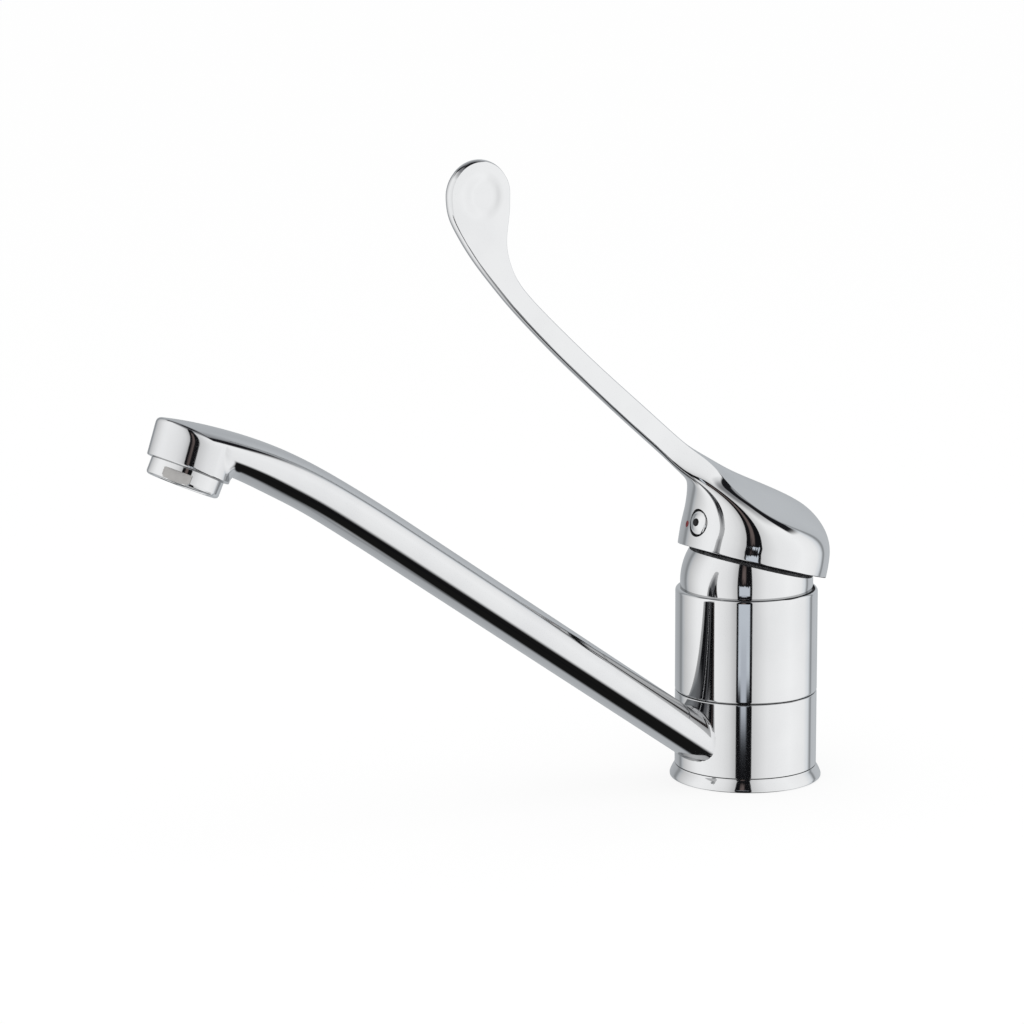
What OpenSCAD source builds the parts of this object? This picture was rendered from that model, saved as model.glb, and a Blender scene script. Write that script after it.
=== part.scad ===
// Elbow lever tap: a single-hole mixer with a swivelling rising spout and a long clinic lever.
// The origin is the centre of the foot on the deck. The spout and the lever point to -Y.
// Profiles in the tap's upright plane are written as [reach, height]: reach is measured towards -Y.

/* [Foot] */
// Diameter of the foot ring on the deck
foot_d = 50; // [49:0.5:56]
// How far the foot stands out past the body on each side
foot_lip = 1.6; // [1.3:0.1:2.4]
// Height of the foot ring
foot_h = 4.4; // [4:0.1:6]
// Height of the upright rim of the foot ring
foot_rim_h = 1.5; // [1:0.1:2]
// Thickness of the rubber ring under the foot
gasket_h = 1.6; // [1.2:0.1:2]
// How far the rubber ring stands out of the foot
gasket_proud = 0.2; // [0.1:0.05:0.4]

/* [Body] */
// Height of the upper body
body_h = 34.5; // [34:0.5:38]
// Rounding of the body's top shoulder
body_round = 1.2; // [0.5:0.1:1.6]
// Outer diameter of the spigot that the sleeve turns on
spigot_d = 34.1; // [33.5:0.1:34.5]
// Diameter of the spigot's waist, where the water passes
waist_d = 29.2; // [28.6:0.1:30]
// Height of the waist
waist_h = 9.8; // [8.5:0.1:10]
// Diameter at the bottom of the seal grooves
seal_groove_d = 29.8; // [29.4:0.1:30.4]
// Distance of each seal's centre from the end of the sleeve
seal_inset = 3.9; // [3.6:0.1:4.2]

/* [Connections below] */
// Core diameter of the thread for the fixing stud
stud_core_d = 6.8; // [6:0.1:7]
// Depth of the stud's thread
stud_depth = 14; // [10:1:15]
// Core diameter of the threads for the two supply hoses
hose_core_d = 9; // [8.5:0.1:9]
// Depth of the hose threads
hose_depth = 12; // [9:1:13]
// Sideways distance of each hose port from the axis
port_x = 8; // [7.8:0.1:8.1]
// Distance of the hose ports behind the axis
port_y = 4.2; // [4:0.1:4.4]
// Diameter of the supply channels
channel_d = 5.4; // [4.6:0.1:5.6]
// Distance of the mixed water channel behind the axis
mixed_y = 10.8; // [10.6:0.1:11]

/* [Sleeve] */
// Height of the sleeve
sleeve_h = 24.7; // [24:0.1:27]
// Gap shown at the seams above and below the sleeve
seam_gap = 0.15; // [0.12:0.01:0.3]
// Radial clearance of everything that turns
run_gap = 0.05; // [0.03:0.01:0.08]
// Width of the plastic glide rings
glide_w = 2.5; // [2:0.1:3.4]
// Thickness of the glide rings
glide_h = 1.3; // [1.1:0.1:1.6]
// Diameter of the water port in the sleeve's wall
sleeve_port_d = 7.6; // [6:0.1:8]

/* [Spout] */
// Width of the oval spout tube
tube_w = 22; // [20:0.5:23]
// Height of the oval spout tube across its length
tube_t = 14.4; // [13.6:0.2:15.4]
// Wall of the spout tube
tube_wall = 1.8; // [1.4:0.1:2.4]
// Height of the tube's centre line where it leaves the sleeve
tube_z = 17.2; // [16.8:0.1:18]
// Reach of the outlet from the tap's axis
outlet_r = 209.3; // [208:0.1:211]
// Height of the outlet's centre above the deck
outlet_z = 119.3; // [118:0.1:121]
// Angle by which the outlet faces outwards
outlet_tilt = 25; // [23:0.5:27]
// Outer diameter of the outlet head
head_d = 25.8; // [25.4:0.1:27]
// Angle at which the head's wall leans outwards
head_lean = 18.5; // [16:0.5:25]
// Depth of the bore in the outlet head
head_bore_h = 7.8; // [7.4:0.1:8]

/* [Aerator] */
// Outer diameter of the aerator's visible ring
aerator_d = 22.6; // [22:0.1:23.4]
// Height of the visible ring
aerator_h = 5.2; // [4.4:0.1:5.4]
// Diameter of the aerator's thread
aerator_thread_d = 21.8; // [21.2:0.1:21.8]
// Height of the threaded skirt
aerator_skirt_h = 6; // [5.4:0.1:6.2]
// Inner diameter of the aerator's housing
aerator_bore_d = 18.6; // [18:0.1:19]
// Diameter of the opening where the water leaves
aerator_mouth_d = 17; // [16:0.1:17.4]
// Depth of each spanner flat below the round surface
flat_depth = 0.9; // [0.6:0.1:1.1]

/* [Cartridge] */
// Outer diameter of the cartridge
cartridge_d = 35; // [34:0.5:35]
// Wall of the cartridge's shell
shell_wall = 2.2; // [1.8:0.1:2.4]
// Height of the cartridge's foot
cart_base_h = 4.5; // [4:0.1:5]
// Thickness of each ceramic disc
disc_h = 3.5; // [3:0.1:4]
// Diameter of the fixed disc
fixed_disc_d = 30; // [29:0.1:30.4]
// Diameter of the moving disc
moving_disc_d = 23; // [22:0.1:23.4]
// Height of the lever's pivot above the body's shoulder
pivot_rise = 1.9; // [1.5:0.1:2.5]
// Distance from the pivot down to the ball
stem_arm = 13.8; // [13:0.1:14]
// Diameter of the ball at the stem's end
ball_d = 6; // [5.6:0.1:6.2]
// Side of the square stem
stem_w = 7; // [6.5:0.1:7.5]
// Length of the stem above the pivot
stem_top = 28.3; // [27:0.1:29]
// Diameter of the pivot pin
pivot_pin_d = 3; // [2.6:0.1:3.4]
// Full swing of the lever
lever_swing = 25; // [20:1:25]

/* [Dome] */
// Outer diameter of the dome, which is part of a sphere about the pivot
dome_d = 43.7; // [43.4:0.1:44]
// Wall of the dome
dome_wall = 1.5; // [1.2:0.1:1.8]
// Diameter of the dome's opening for the lever's boss
dome_mouth_d = 29; // [28:0.5:30]

/* [Lever] */
// Diameter of the sphere that hollows the hub, about the pivot
hollow_d = 46; // [45.2:0.1:46.6]
// Thickness of the lever's blade
blade_t = 3.8; // [3.2:0.1:4.6]
// Diameter of the round pad
pad_d = 22.5; // [21:0.1:23]
// Depth of the round dimple on each face of the pad
dimple_h = 0.5; // [0.3:0.05:0.8]
// Diameter of the dimple
dimple_d = 12.4; // [10:0.1:14]
// Diameter of the boss that holds the stem
boss_d = 16; // [15:0.1:17]
// Diameter of the set screw
screw_d = 5; // [4:0.5:5]
// Length of the set screw
screw_l = 5.4; // [5:0.1:6]
// Diameter of the button over the set screw
plug_d = 8.6; // [8:0.1:9]
// Diameter of the red dot
mark_d = 2.2; // [1.8:0.1:2.6]
// Sideways distance of the red dot from the button
mark_x = 6.7; // [6:0.1:8]

/* [Hidden] */
$fn = 96;
e = 0.01;

// Body, sleeve and glide rings, inside the foot
body_d = foot_d - 2 * foot_lip;
glide_d = spigot_d + 2 * (run_gap + glide_w);

// Levels of the fixed stack, from the deck up
sleeve_z0 = foot_h + seam_gap;
sleeve_z1 = sleeve_z0 + sleeve_h;
body_z0 = sleeve_z1 + seam_gap;
body_z1 = body_z0 + body_h;
waist_mid = (sleeve_z0 + sleeve_z1) / 2;
pivot_z = body_z1 + pivot_rise;

// Rubber ring under the foot
foot_edge = 0.7;
gasket_w = 2.4;
gasket_r1 = foot_d / 2 - foot_edge - 1.85;
gasket_r0 = gasket_r1 - gasket_w;

// Running radii of the swivel
spigot_r = spigot_d / 2;
sleeve_bore_r = spigot_r + run_gap;
seal_slack = 0.02;
seal_t = (sleeve_bore_r - seal_slack - seal_groove_d / 2) / 2;

// Levels of the cartridge, from the pivot down
half_swing = lever_swing / 2;
ball_mid = pivot_z - stem_arm;
ball_rest = pivot_z - stem_arm * cos(half_swing);
socket_floor = ball_mid - ball_d / 2 - 0.3;
carrier_floor_h = 3;
carrier_z0 = socket_floor - carrier_floor_h;
carrier_step = carrier_z0 + 3.9;
carrier_z1 = ball_mid + 2.3;
face_gap = 0.02;
moving_z0 = carrier_z0 - disc_h;
fixed_z1 = moving_z0 - face_gap;
fixed_z0 = fixed_z1 - disc_h;
chamber_z = fixed_z0 - cart_base_h;
rotor_z0 = carrier_z1 + 0.4;
rotor_h = 3.6;
rotor_z1 = rotor_z0 + rotor_h;
shell_ceiling = rotor_z1 + run_gap;
shell_top_h = 2.6;
shell_z1 = shell_ceiling + shell_top_h;
neck_r = 11;
neck_z1 = pivot_z + 4.2;

// Radii and travel of the cartridge
cart_r = cartridge_d / 2;
cart_bore_r = cart_r - shell_wall;
cart_fit = 0.1;
carrier_off = stem_arm * sin(half_swing);
carrier_r = moving_disc_d / 2;
boss_x = 8;
boss_y = 5.5;
rail_gap = 0.1;
slot_gap = 0.2;
stem_neck_d = 4.4;
stem_drop = 5;
pin_half = neck_r - 0.4;

// Cartridge nut
nut_wall = 1.75;
nut_r = cart_r + cart_fit + nut_wall;
nut_skirt_h = 4.5;
nut_h = 4;
nut_bore_r = 13;
nut_z1 = shell_z1 + nut_h;

// Dome, hub hollow and boss
dome_r = dome_d / 2;
hollow_r = hollow_d / 2;
boss_s0 = 13.5;
screw_s = 16.7;
plug_t = 24.2;
plug_depth = 1.8;
plug_stem_d = 5.2;
plug_stem_h = 4;
mark_s = 15.4;
mark_t = 23.3;
mark_turn = 15.5;
mark_h = 1;

// Sections of the hub, from the rim to the root of the blade: the front point, the rear point,
// the depth of the rounded front, the depth of the crease, the widest half width,
// the half width at the crease and the fullness of the top behind the crease
HUB = [
    [22.0, 79.3, -26.0, 65.3, 25.0, 25.0, 25.0, 25.0, 2],
    [21.0, 83.8, -27.4, 74.5, 24.4, 25.2, 25.2, 25.2, 2],
    [20.0, 87.8, -26.9, 82.4, 20.5, 22.3, 23.2, 23.0, 1.7],
    [19.6, 91.8, -22.2, 89.0, 14.2, 14.8, 18.6, 18.4, 1.4],
    [20.2, 95.6, -12.7, 94.5, 8.8, 10.6, 14.0, 13.8, 1.3],
    [21.6, 98.9, -2.6, 99.1, 4.4, 9.4, 9.8, 9.5, 1.2],
    [23.5, 101.4, 7.5, 103.7, 2.4, 9.2, 6.3, 6.0, 1.2],
    [26.3, 103.9, 16.5, 108.7, 2.0, 8.8, 3.8, 3.6, 1.2],
    [30.6, 107.6, 24.1, 113.2, 2.0, 7.8, 2.4, 2.3, 1.2]
];

// Sections of the blade as front point and rear point, from the hub to the pad
BLADE = [
    [36.9, 113.1, 31.8, 119.2],
    [48.7, 123.0, 43.5, 129.0],
    [62.6, 135.0, 57.5, 140.7],
    [76.4, 147.3, 71.3, 152.8],
    [89.9, 160.3, 84.7, 165.3],
    [98.0, 169.0, 91.7, 174.1],
    [105.6, 178.0, 94.3, 181.9],
    [111.1, 185.9, 94.1, 188.5],
    [114.5, 192.2, 93.4, 193.6]
];
overall_h = 210;
pad_r = pad_d / 2;
pad_c = [104.4, overall_h - pad_r];
blade_round = 0.6;
tip_w = 1.4;

// Places along the spout's bend, measured from the outlet's centre: the upper point, the lower point
// and how far the width has grown from the tube's to the head's
BEND = [
    [-55.0, -4.3, -47.4, -16.4, 0],
    [-46.2, 1.3, -39.4, -10.9, 0.05],
    [-37.7, 5.9, -31.0, -7.0, 0.2],
    [-28.9, 10.3, -23.5, -2.1, 0.47],
    [-19.5, 13.9, -15.8, 1.2, 0.8],
    [-9.9, 17.2, -7.3, 5.5, 0.95]
];
// The spout's top past the bend, to just beyond the outlet head
NOSE = [
    [-0.5, 19.8, 1.5, 8.3, 1],
    [8.5, 21.6, 10.3, 10.1, 1],
    [17.7, 22.4, 19.5, 10.9, 1]
];
// The straight tube runs from inside the sleeve to just short of the bend
tube_root = body_d / 2 - 9.4;
straight_end = [outlet_r - 61.3, outlet_z - 16.8];
tube_rise = atan2(straight_end[1] - tube_z, straight_end[0] - body_d / 2);
tube_fullness = 2.25;

// A point of the upright plane, or one beside it, in the tap's frame
function at(p, x = 0) = [x, -p[0], p[1]];
function mix(a, b, t) = a + (b - a) * t;
function between(a, b) = norm([b[0] - a[0], b[1] - a[1]]);

// Half width and depth of the near side of a hub or blade section, from the front to the rear
function near_side(a, k, w, wk, q, len) = concat(
    [for (v = [0:15:90]) [a * (1 - cos(v)), w * sin(v)]],
    [[(a + k) / 2, (w + wk) / 2]],
    [for (v = [0:15:90]) [k + (len - k) * pow(sin(v), 2 / q), wk * cos(v)]]
);

// Closed ring of a section from its front and rear points
function section(s, a, k, w, wk, q) =
    let (f = [s[0], s[1]], b = [s[2], s[3]], len = norm(b - f))
    let (half = near_side(a, k, w, wk, q, len), n = len(half))
    concat(
        [for (i = [0:n - 1]) at(mix(f, b, half[i][0] / len), half[i][1])],
        [for (i = [n - 2:-1:1]) at(mix(f, b, half[i][0] / len), -half[i][1])]
    );

// Smooth value between the two middle ones of four rows
function blend(p, q, r, s, t) =
    0.5 * (2 * q + (r - p) * t + (2 * p - 5 * q + 4 * r - s) * t * t + (3 * q - p - 3 * r + s) * t * t * t);
function row(rows, i) = rows[min(max(i, 0), len(rows) - 1)];
function smooth(rows, steps) = concat(
    [for (i = [0:len(rows) - 2], j = [0:steps - 1])
        blend(row(rows, i - 1), rows[i], rows[i + 1], row(rows, i + 2), j / steps)],
    [rows[len(rows) - 1]]
);

// A blade section has a rounded front edge and a crisp rear edge
function blade_row(s) =
    let (len = between([s[0], s[1]], [s[2], s[3]]), half = blade_t / 2)
    concat(s, [min(half, 0.45 * len), max(len - blade_round, 0.55 * len), half, half, 1.2]);
function pad_row(up) =
    let (half = sqrt(pad_r * pad_r - up * up))
    blade_row([pad_c[0] + half, pad_c[1] + up, pad_c[0] - half, pad_c[1] + up]);
LEVER = smooth(concat(
    HUB,
    [for (s = BLADE) blade_row(s)],
    [for (v = [-8, 10, 28, 45, 61, 75]) pad_row(pad_r * sin(v))]
), 2);
TIP = blade_row([pad_c[0] + tip_w / 2, overall_h, pad_c[0] - tip_w / 2, overall_h]);

// Closed skin over rings with equal numbers of points
module skin(rings) {
    n = len(rings[0]);
    last = (len(rings) - 1) * n;
    sides = [
        for (i = [0:len(rings) - 2], j = [0:n - 1])
            let (k = (j + 1) % n, p = i * n, q = p + n)
            each [[p + j, q + j, q + k], [p + j, q + k, p + k]]
    ];
    polyhedron(
        points = [for (r = rings) each r],
        faces = concat([[for (j = [0:n - 1]) j]], sides, [[for (j = [n - 1:-1:0]) last + j]]),
        convexity = 8
    );
}

// Oval ring of the spout between an upper and a lower point, drawn in by a wall or let down at its lower half
function oval(s, wall = 0, drop = 0) =
    let (u = [s[0], s[1]], l = [s[2], s[3]], c = (u + l) / 2, d = (u - l) / norm(u - l))
    let (h = norm(u - l) / 2 - wall, w = s[4] / 2 - wall, p = 2 / tube_fullness)
    [
        for (v = [0:15:345])
            let (m = (sin(v) < 0 ? h + drop : h) * sign(sin(v)) * pow(abs(sin(v)), p))
            at(c + d * m, w * sign(cos(v)) * pow(abs(cos(v)), p))
    ];
function tube_row(r) =
    let (c = [r, tube_z + tan(tube_rise) * (r - body_d / 2)], n = [-sin(tube_rise), cos(tube_rise)])
    [c[0] + n[0] * tube_t / 2, c[1] + n[1] * tube_t / 2, c[0] - n[0] * tube_t / 2, c[1] - n[1] * tube_t / 2, tube_w];
function outlet_row(s) = [
    outlet_r + s[0], outlet_z + s[1], outlet_r + s[2], outlet_z + s[3], mix(tube_w, head_d, s[4])
];
bend_rows = [for (s = BEND) outlet_row(s)];
TUBE = concat(
    [for (t = [0, 0.35, 0.7]) tube_row(mix(tube_root, straight_end[0], t))],
    smooth(concat([tube_row(straight_end[0])], bend_rows), 2)
);
HEAD = smooth(concat([for (i = [2:len(BEND) - 1]) bend_rows[i]], [for (s = NOSE) outlet_row(s)]), 2);

// Frames of the pivot, the lever's stem and the outlet
module about_pivot() {
    translate([0, 0, pivot_z]) children();
}
module along_stem() {
    about_pivot() rotate([-half_swing, 0, 0]) children();
}
module along_outlet() {
    translate([0, -outlet_r, outlet_z]) rotate([-outlet_tilt, 0, 0]) children();
}
module tube_ring(r_out, r_in, z0, z1) {
    translate([0, 0, z0]) difference() {
        cylinder(r = r_out, h = z1 - z0);
        translate([0, 0, -1]) cylinder(r = r_in, h = z1 - z0 + 2);
    }
}
module seal_ring(z) {
    translate([0, 0, z]) rotate_extrude() translate([seal_groove_d / 2 + seal_t, 0]) circle(r = seal_t, $fn = 48);
}
module seal_groove(z) {
    groove_h = 2 * seal_t + 0.4;
    tube_ring(spigot_r + 1, seal_groove_d / 2, z - groove_h / 2, z + groove_h / 2);
}

module base_flange() {
    color("silver") rotate_extrude() polygon([
        [sleeve_bore_r, gasket_proud],
        [gasket_r0, gasket_proud],
        [gasket_r0, gasket_h],
        [gasket_r1, gasket_h],
        [gasket_r1, gasket_proud],
        [foot_d / 2 - foot_edge, gasket_proud],
        [foot_d / 2, gasket_proud + foot_edge],
        [foot_d / 2, foot_rim_h],
        [foot_d / 2 - 0.4, foot_rim_h + foot_edge],
        [body_d / 2 + 0.3, foot_h - 0.9],
        [body_d / 2, foot_h],
        [sleeve_bore_r, foot_h]
    ]);
}

module base_gasket() {
    color("black") tube_ring(gasket_r1 - run_gap, gasket_r0 + run_gap, 0, gasket_h);
}

module body_casting() {
    color("silver") difference() {
        union() {
            cylinder(r = spigot_r, h = body_z0 + e);
            translate([0, 0, body_z0]) rotate_extrude() difference() {
                union() {
                    square([body_d / 2, body_h - body_round]);
                    square([body_d / 2 - body_round, body_h]);
                    translate([body_d / 2 - body_round, body_h - body_round]) circle(r = body_round);
                }
            }
        }
        tube_ring(spigot_r + 1, waist_d / 2, waist_mid - waist_h / 2, waist_mid + waist_h / 2);
        seal_groove(sleeve_z0 + seal_inset);
        seal_groove(sleeve_z1 - seal_inset);
        translate([0, 0, chamber_z]) cylinder(r = cart_r + cart_fit, h = body_z1);
        translate([0, 0, shell_z1 - nut_skirt_h]) cylinder(r = nut_r + run_gap, h = body_z1);
        translate([0, 0, -1]) cylinder(d = stud_core_d, h = stud_depth + 1);
        for (side = [-1, 1]) translate([side * port_x, port_y, 0]) {
            translate([0, 0, -1]) cylinder(d = hose_core_d, h = hose_depth + 1);
            cylinder(d = channel_d, h = chamber_z + 1);
        }
        translate([0, mixed_y, waist_mid]) cylinder(d = channel_d, h = chamber_z);
        translate([0, mixed_y, waist_mid]) rotate([-90, 0, 0]) cylinder(d = channel_d, h = spigot_r);
    }
}

module spout_seal_upper() {
    color("black") seal_ring(sleeve_z1 - seal_inset);
}

module spout_seal_lower() {
    color("black") seal_ring(sleeve_z0 + seal_inset);
}

// The three ports of the cartridge: two supplies and the mixed water behind them
module at_ports() {
    for (side = [-1, 1]) translate([side * port_x, port_y, 0]) children();
    translate([0, mixed_y, 0]) children();
}
port_seal_h = 1;
port_seal_r = 3.9;

module cartridge_base() {
    color("ivory") difference() {
        translate([0, 0, chamber_z]) cylinder(r = cart_r, h = cart_base_h);
        at_ports() translate([0, 0, chamber_z - 1]) cylinder(d = channel_d, h = cart_base_h + 2);
        at_ports() translate([0, 0, chamber_z - 1]) cylinder(r = port_seal_r + 0.1, h = port_seal_h + 1);
    }
}

module cartridge_port_seals() {
    color("black") at_ports() tube_ring(port_seal_r, channel_d / 2 + 0.2, chamber_z, chamber_z + port_seal_h);
}

module fixed_disc() {
    color("white") difference() {
        translate([0, 0, fixed_z0]) cylinder(d = fixed_disc_d, h = disc_h);
        at_ports() translate([0, 0, fixed_z0 - 1]) cylinder(d = channel_d - 0.6, h = disc_h + 2);
    }
}

module cartridge_housing() {
    color("ivory") difference() {
        translate([0, 0, fixed_z0]) cylinder(r = cart_r, h = shell_z1 - fixed_z0);
        translate([0, 0, fixed_z0 - 1]) cylinder(r = cart_bore_r, h = shell_ceiling - fixed_z0 + 1);
        translate([0, 0, fixed_z0]) cylinder(r = neck_r + run_gap, h = shell_z1);
    }
}

module cartridge_nut() {
    color("goldenrod") difference() {
        translate([0, 0, shell_z1 - nut_skirt_h]) cylinder(r = nut_r, h = nut_skirt_h + nut_h);
        translate([0, 0, shell_z1 - nut_skirt_h - 1]) cylinder(r = cart_r + cart_fit, h = nut_skirt_h + 1);
        translate([0, 0, shell_z1 - 1]) cylinder(r = nut_bore_r, h = nut_h + 2);
        for (turn = [0:60:300]) rotate([0, 0, turn])
            translate([nut_bore_r + 1.5, -1.5, shell_z1 + 1.5]) cube([nut_r, 3, nut_h]);
    }
}

module dome_cap() {
    color("silver") difference() {
        about_pivot() sphere(r = dome_r, $fn = 180);
        difference() {
            about_pivot() sphere(r = dome_r - dome_wall, $fn = 180);
            cylinder(r = body_d, h = nut_z1);
        }
        translate([0, 0, body_z1 - 1]) cylinder(r = nut_r + run_gap, h = nut_z1 - body_z1 + 1 + e);
        translate([0, 0, -body_d]) cylinder(r = body_d, h = body_d + body_z1);
        cylinder(d = dome_mouth_d, h = 2 * pivot_z);
    }
}

module spout_sleeve() {
    glide_seat = glide_h - seam_gap + run_gap;
    color("silver") difference() {
        translate([0, 0, sleeve_z0]) cylinder(d = body_d, h = sleeve_h);
        translate([0, 0, sleeve_z0 - 1]) cylinder(r = sleeve_bore_r, h = sleeve_h + 2);
        translate([0, 0, sleeve_z1 - glide_seat]) cylinder(d = glide_d, h = glide_seat + 1);
        translate([0, 0, sleeve_z0 - 1]) cylinder(d = glide_d, h = glide_seat + 1);
        translate([0, 0, waist_mid]) rotate([90, 0, 0]) cylinder(d = sleeve_port_d, h = body_d);
    }
}

module glide_ring_upper() {
    color("white") tube_ring(glide_d / 2 - run_gap, sleeve_bore_r + run_gap, body_z0 - run_gap - glide_h, body_z0 - run_gap);
}

module glide_ring_lower() {
    color("white") tube_ring(glide_d / 2 - run_gap, sleeve_bore_r + run_gap, foot_h + run_gap, foot_h + run_gap + glide_h);
}

// Ring of the outlet head's wall, square to the outlet, at a distance up the leaning wall
function head_ring(up) =
    let (lift = aerator_h * [-sin(outlet_tilt), cos(outlet_tilt)] + up * [-sin(head_lean), cos(head_lean)])
    let (c = [outlet_r, outlet_z] + lift, across = [cos(outlet_tilt), sin(outlet_tilt)])
    [for (v = [0:7.5:352.5]) at(c + across * cos(v) * head_d / 2, sin(v) * head_d / 2)];

// Round head over the outlet, under the spout's own rounded top
module head_block() {
    intersection() {
        skin([head_ring(0), head_ring(2 * head_d)]);
        skin([for (s = HEAD) oval(s, 0, head_d)]);
    }
}

module spout_tube() {
    color("silver") difference() {
        union() {
            skin([for (s = TUBE) oval(s)]);
            head_block();
        }
        skin([for (i = [0:len(TUBE) - 2]) oval(TUBE[i], tube_wall)]);
        along_outlet() cylinder(d = aerator_thread_d + 2 * run_gap, h = aerator_h + head_bore_h);
        cylinder(d = body_d, h = body_z1);
    }
}

module aerator_gasket() {
    seat = aerator_h + aerator_skirt_h;
    color("black") along_outlet() tube_ring(aerator_thread_d / 2 - 0.1, aerator_bore_d / 2 - 1, seat, aerator_h + head_bore_h);
}

module aerator_insert() {
    color("gainsboro") along_outlet() difference() {
        translate([0, 0, insert_z]) cylinder(d = aerator_bore_d - 0.1, h = aerator_h + aerator_skirt_h - insert_z);
        for (ring = [1:3]) for (i = [1:6 * ring])
            rotate([0, 0, i * 60 / ring]) translate([ring * jet_pitch, 0, 0])
                cylinder(d = jet_d, h = aerator_h + aerator_skirt_h + 1, $fn = 16);
    }
}
jet_d = 1.4;
jet_pitch = 2.4;
mesh_z = 1.2;
mesh_h = 0.6;
insert_z = mesh_z + mesh_h;

module aerator_mesh() {
    color("gray") along_outlet() translate([0, 0, mesh_z]) cylinder(d = aerator_bore_d - 0.1, h = mesh_h);
}

flat_w = 9;
// Heading of the first flat, from the right-hand side towards the front
flat_turn = -43;

module aerator_housing() {
    color("silver") along_outlet() difference() {
        union() {
            rotate_extrude() polygon([
                [0, 0],
                [aerator_d / 2 - 0.8, 0],
                [aerator_d / 2 - 0.2, 0.3],
                [aerator_d / 2, 0.9],
                [aerator_d / 2, aerator_h - 0.1],
                [0, aerator_h - 0.1]
            ]);
            cylinder(d = aerator_thread_d, h = aerator_h + aerator_skirt_h);
        }
        translate([0, 0, mesh_z]) cylinder(d = aerator_bore_d, h = aerator_h + aerator_skirt_h);
        translate([0, 0, -1]) cylinder(d = aerator_mouth_d, h = aerator_h);
        for (turn = [flat_turn, flat_turn + 180]) rotate([0, 0, turn])
            translate([aerator_d / 2 - flat_depth + flat_w / 2, 0, (aerator_h + 1) / 2])
                cube([flat_w, flat_w, aerator_h - 2.2], center = true);
    }
}

module stem_guide() {
    stem_slot = stem_w + 2 * slot_gap;
    slot_y = 5.2;
    rail_l = 14;
    color("gray") difference() {
        union() {
            translate([0, 0, rotor_z0]) cylinder(r = cart_bore_r - 0.2, h = rotor_h);
            translate([0, 0, rotor_z0]) cylinder(r = neck_r, h = neck_z1 - rotor_z0);
            for (side = [-1, 1]) translate([side * (boss_x + rail_gap + 1.5), 0, (carrier_step + 0.4 + rotor_z0) / 2])
                cube([3, rail_l, rotor_z0 - carrier_step - 0.4 + e], center = true);
        }
        translate([-stem_slot / 2, -slot_y, carrier_z0]) cube([stem_slot, 2 * slot_y, neck_z1]);
        about_pivot() rotate([0, 90, 0]) cylinder(d = pivot_pin_d, h = 2 * neck_r + 2, center = true);
    }
}

module stem_pivot_pin() {
    color("gray") about_pivot() rotate([0, 90, 0]) cylinder(d = pivot_pin_d, h = 2 * pin_half, center = true);
}

module disc_carrier() {
    color("white") translate([0, -carrier_off, 0]) difference() {
        union() {
            translate([0, 0, carrier_z0]) cylinder(r = carrier_r, h = carrier_step - carrier_z0);
            translate([-boss_x, -boss_y, carrier_z0]) cube([2 * boss_x, 2 * boss_y, carrier_z1 - carrier_z0]);
        }
        translate([0, 0, socket_floor]) cylinder(r = ball_d / 2 + run_gap, h = carrier_z1);
    }
}

// Pocket under the moving disc that joins the ports
pocket_r = 5;
pocket_y = 4;

module moving_disc() {
    color("white") translate([0, -carrier_off, moving_z0]) difference() {
        cylinder(d = moving_disc_d, h = disc_h);
        translate([0, pocket_y, -1]) cylinder(r = pocket_r, h = disc_h / 2 + 1);
    }
}

module cartridge_stem() {
    color("goldenrod") along_stem() difference() {
        union() {
            translate([-stem_w / 2, -stem_w / 2, -stem_drop]) cube([stem_w, stem_w, stem_top + stem_drop]);
            translate([0, 0, -stem_arm]) cylinder(d = stem_neck_d, h = stem_arm);
            translate([0, 0, -stem_arm]) sphere(d = ball_d, $fn = 64);
        }
        rotate([0, 90, 0]) cylinder(d = pivot_pin_d + 2 * run_gap, h = stem_w + 2, center = true);
    }
}

module along_screw(t) {
    translate([0, -t, screw_s]) rotate([90, 0, 0]) children();
}

module lever_handle() {
    stem_fit = 0.05;
    dimple_r = (dimple_d * dimple_d / 4 + dimple_h * dimple_h) / (2 * dimple_h);
    color("silver") difference() {
        union() {
            difference() {
                skin([for (s = concat(LEVER, [TIP])) section(s, s[4], s[5], s[6], s[7], s[8])]);
                about_pivot() sphere(r = hollow_r, $fn = 180);
            }
            along_stem() translate([0, 0, boss_s0]) cylinder(d = boss_d, h = hollow_r + 1 - boss_s0);
        }
        along_stem() {
            translate([-stem_w / 2 - stem_fit, -stem_w / 2 - stem_fit, 0])
                cube([stem_w + 2 * stem_fit, stem_w + 2 * stem_fit, stem_top]);
            along_screw(0) cylinder(d = screw_d, h = boss_d);
            along_screw(stem_w) cylinder(d = plug_stem_d + 0.1, h = plug_t);
            along_screw(plug_t - plug_depth) cylinder(d = plug_d + 0.2, h = 10);
            at_mark() cylinder(d = mark_d, h = 5);
        }
        for (side = [-1, 1]) translate([side * (blade_t / 2 + dimple_r - dimple_h), -pad_c[0], pad_c[1]])
            sphere(r = dimple_r, $fn = 180);
    }
}

module at_mark() {
    translate([-mark_x, -mark_t + mark_h, mark_s]) rotate([0, 0, -mark_turn]) rotate([90, 0, 0]) children();
}

module handle_set_screw() {
    color("gray") along_stem() along_screw(stem_w / 2) difference() {
        cylinder(d = screw_d, h = screw_l);
        translate([0, 0, screw_l - 2.4]) cylinder(d = 2.9, h = 5, $fn = 6);
    }
}

module indicator_plug() {
    cap_h = 1.4;
    cap_r = 8;
    color("silver") along_stem() along_screw(plug_t - plug_depth) {
        intersection() {
            cylinder(d = plug_d, h = 5);
            translate([0, 0, cap_h + 1.2 - cap_r]) sphere(r = cap_r, $fn = 96);
        }
        translate([0, 0, -plug_stem_h]) cylinder(d = plug_stem_d, h = plug_stem_h + e);
    }
}

module hot_mark() {
    color("red") along_stem() at_mark() cylinder(d = mark_d, h = mark_h);
}

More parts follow.
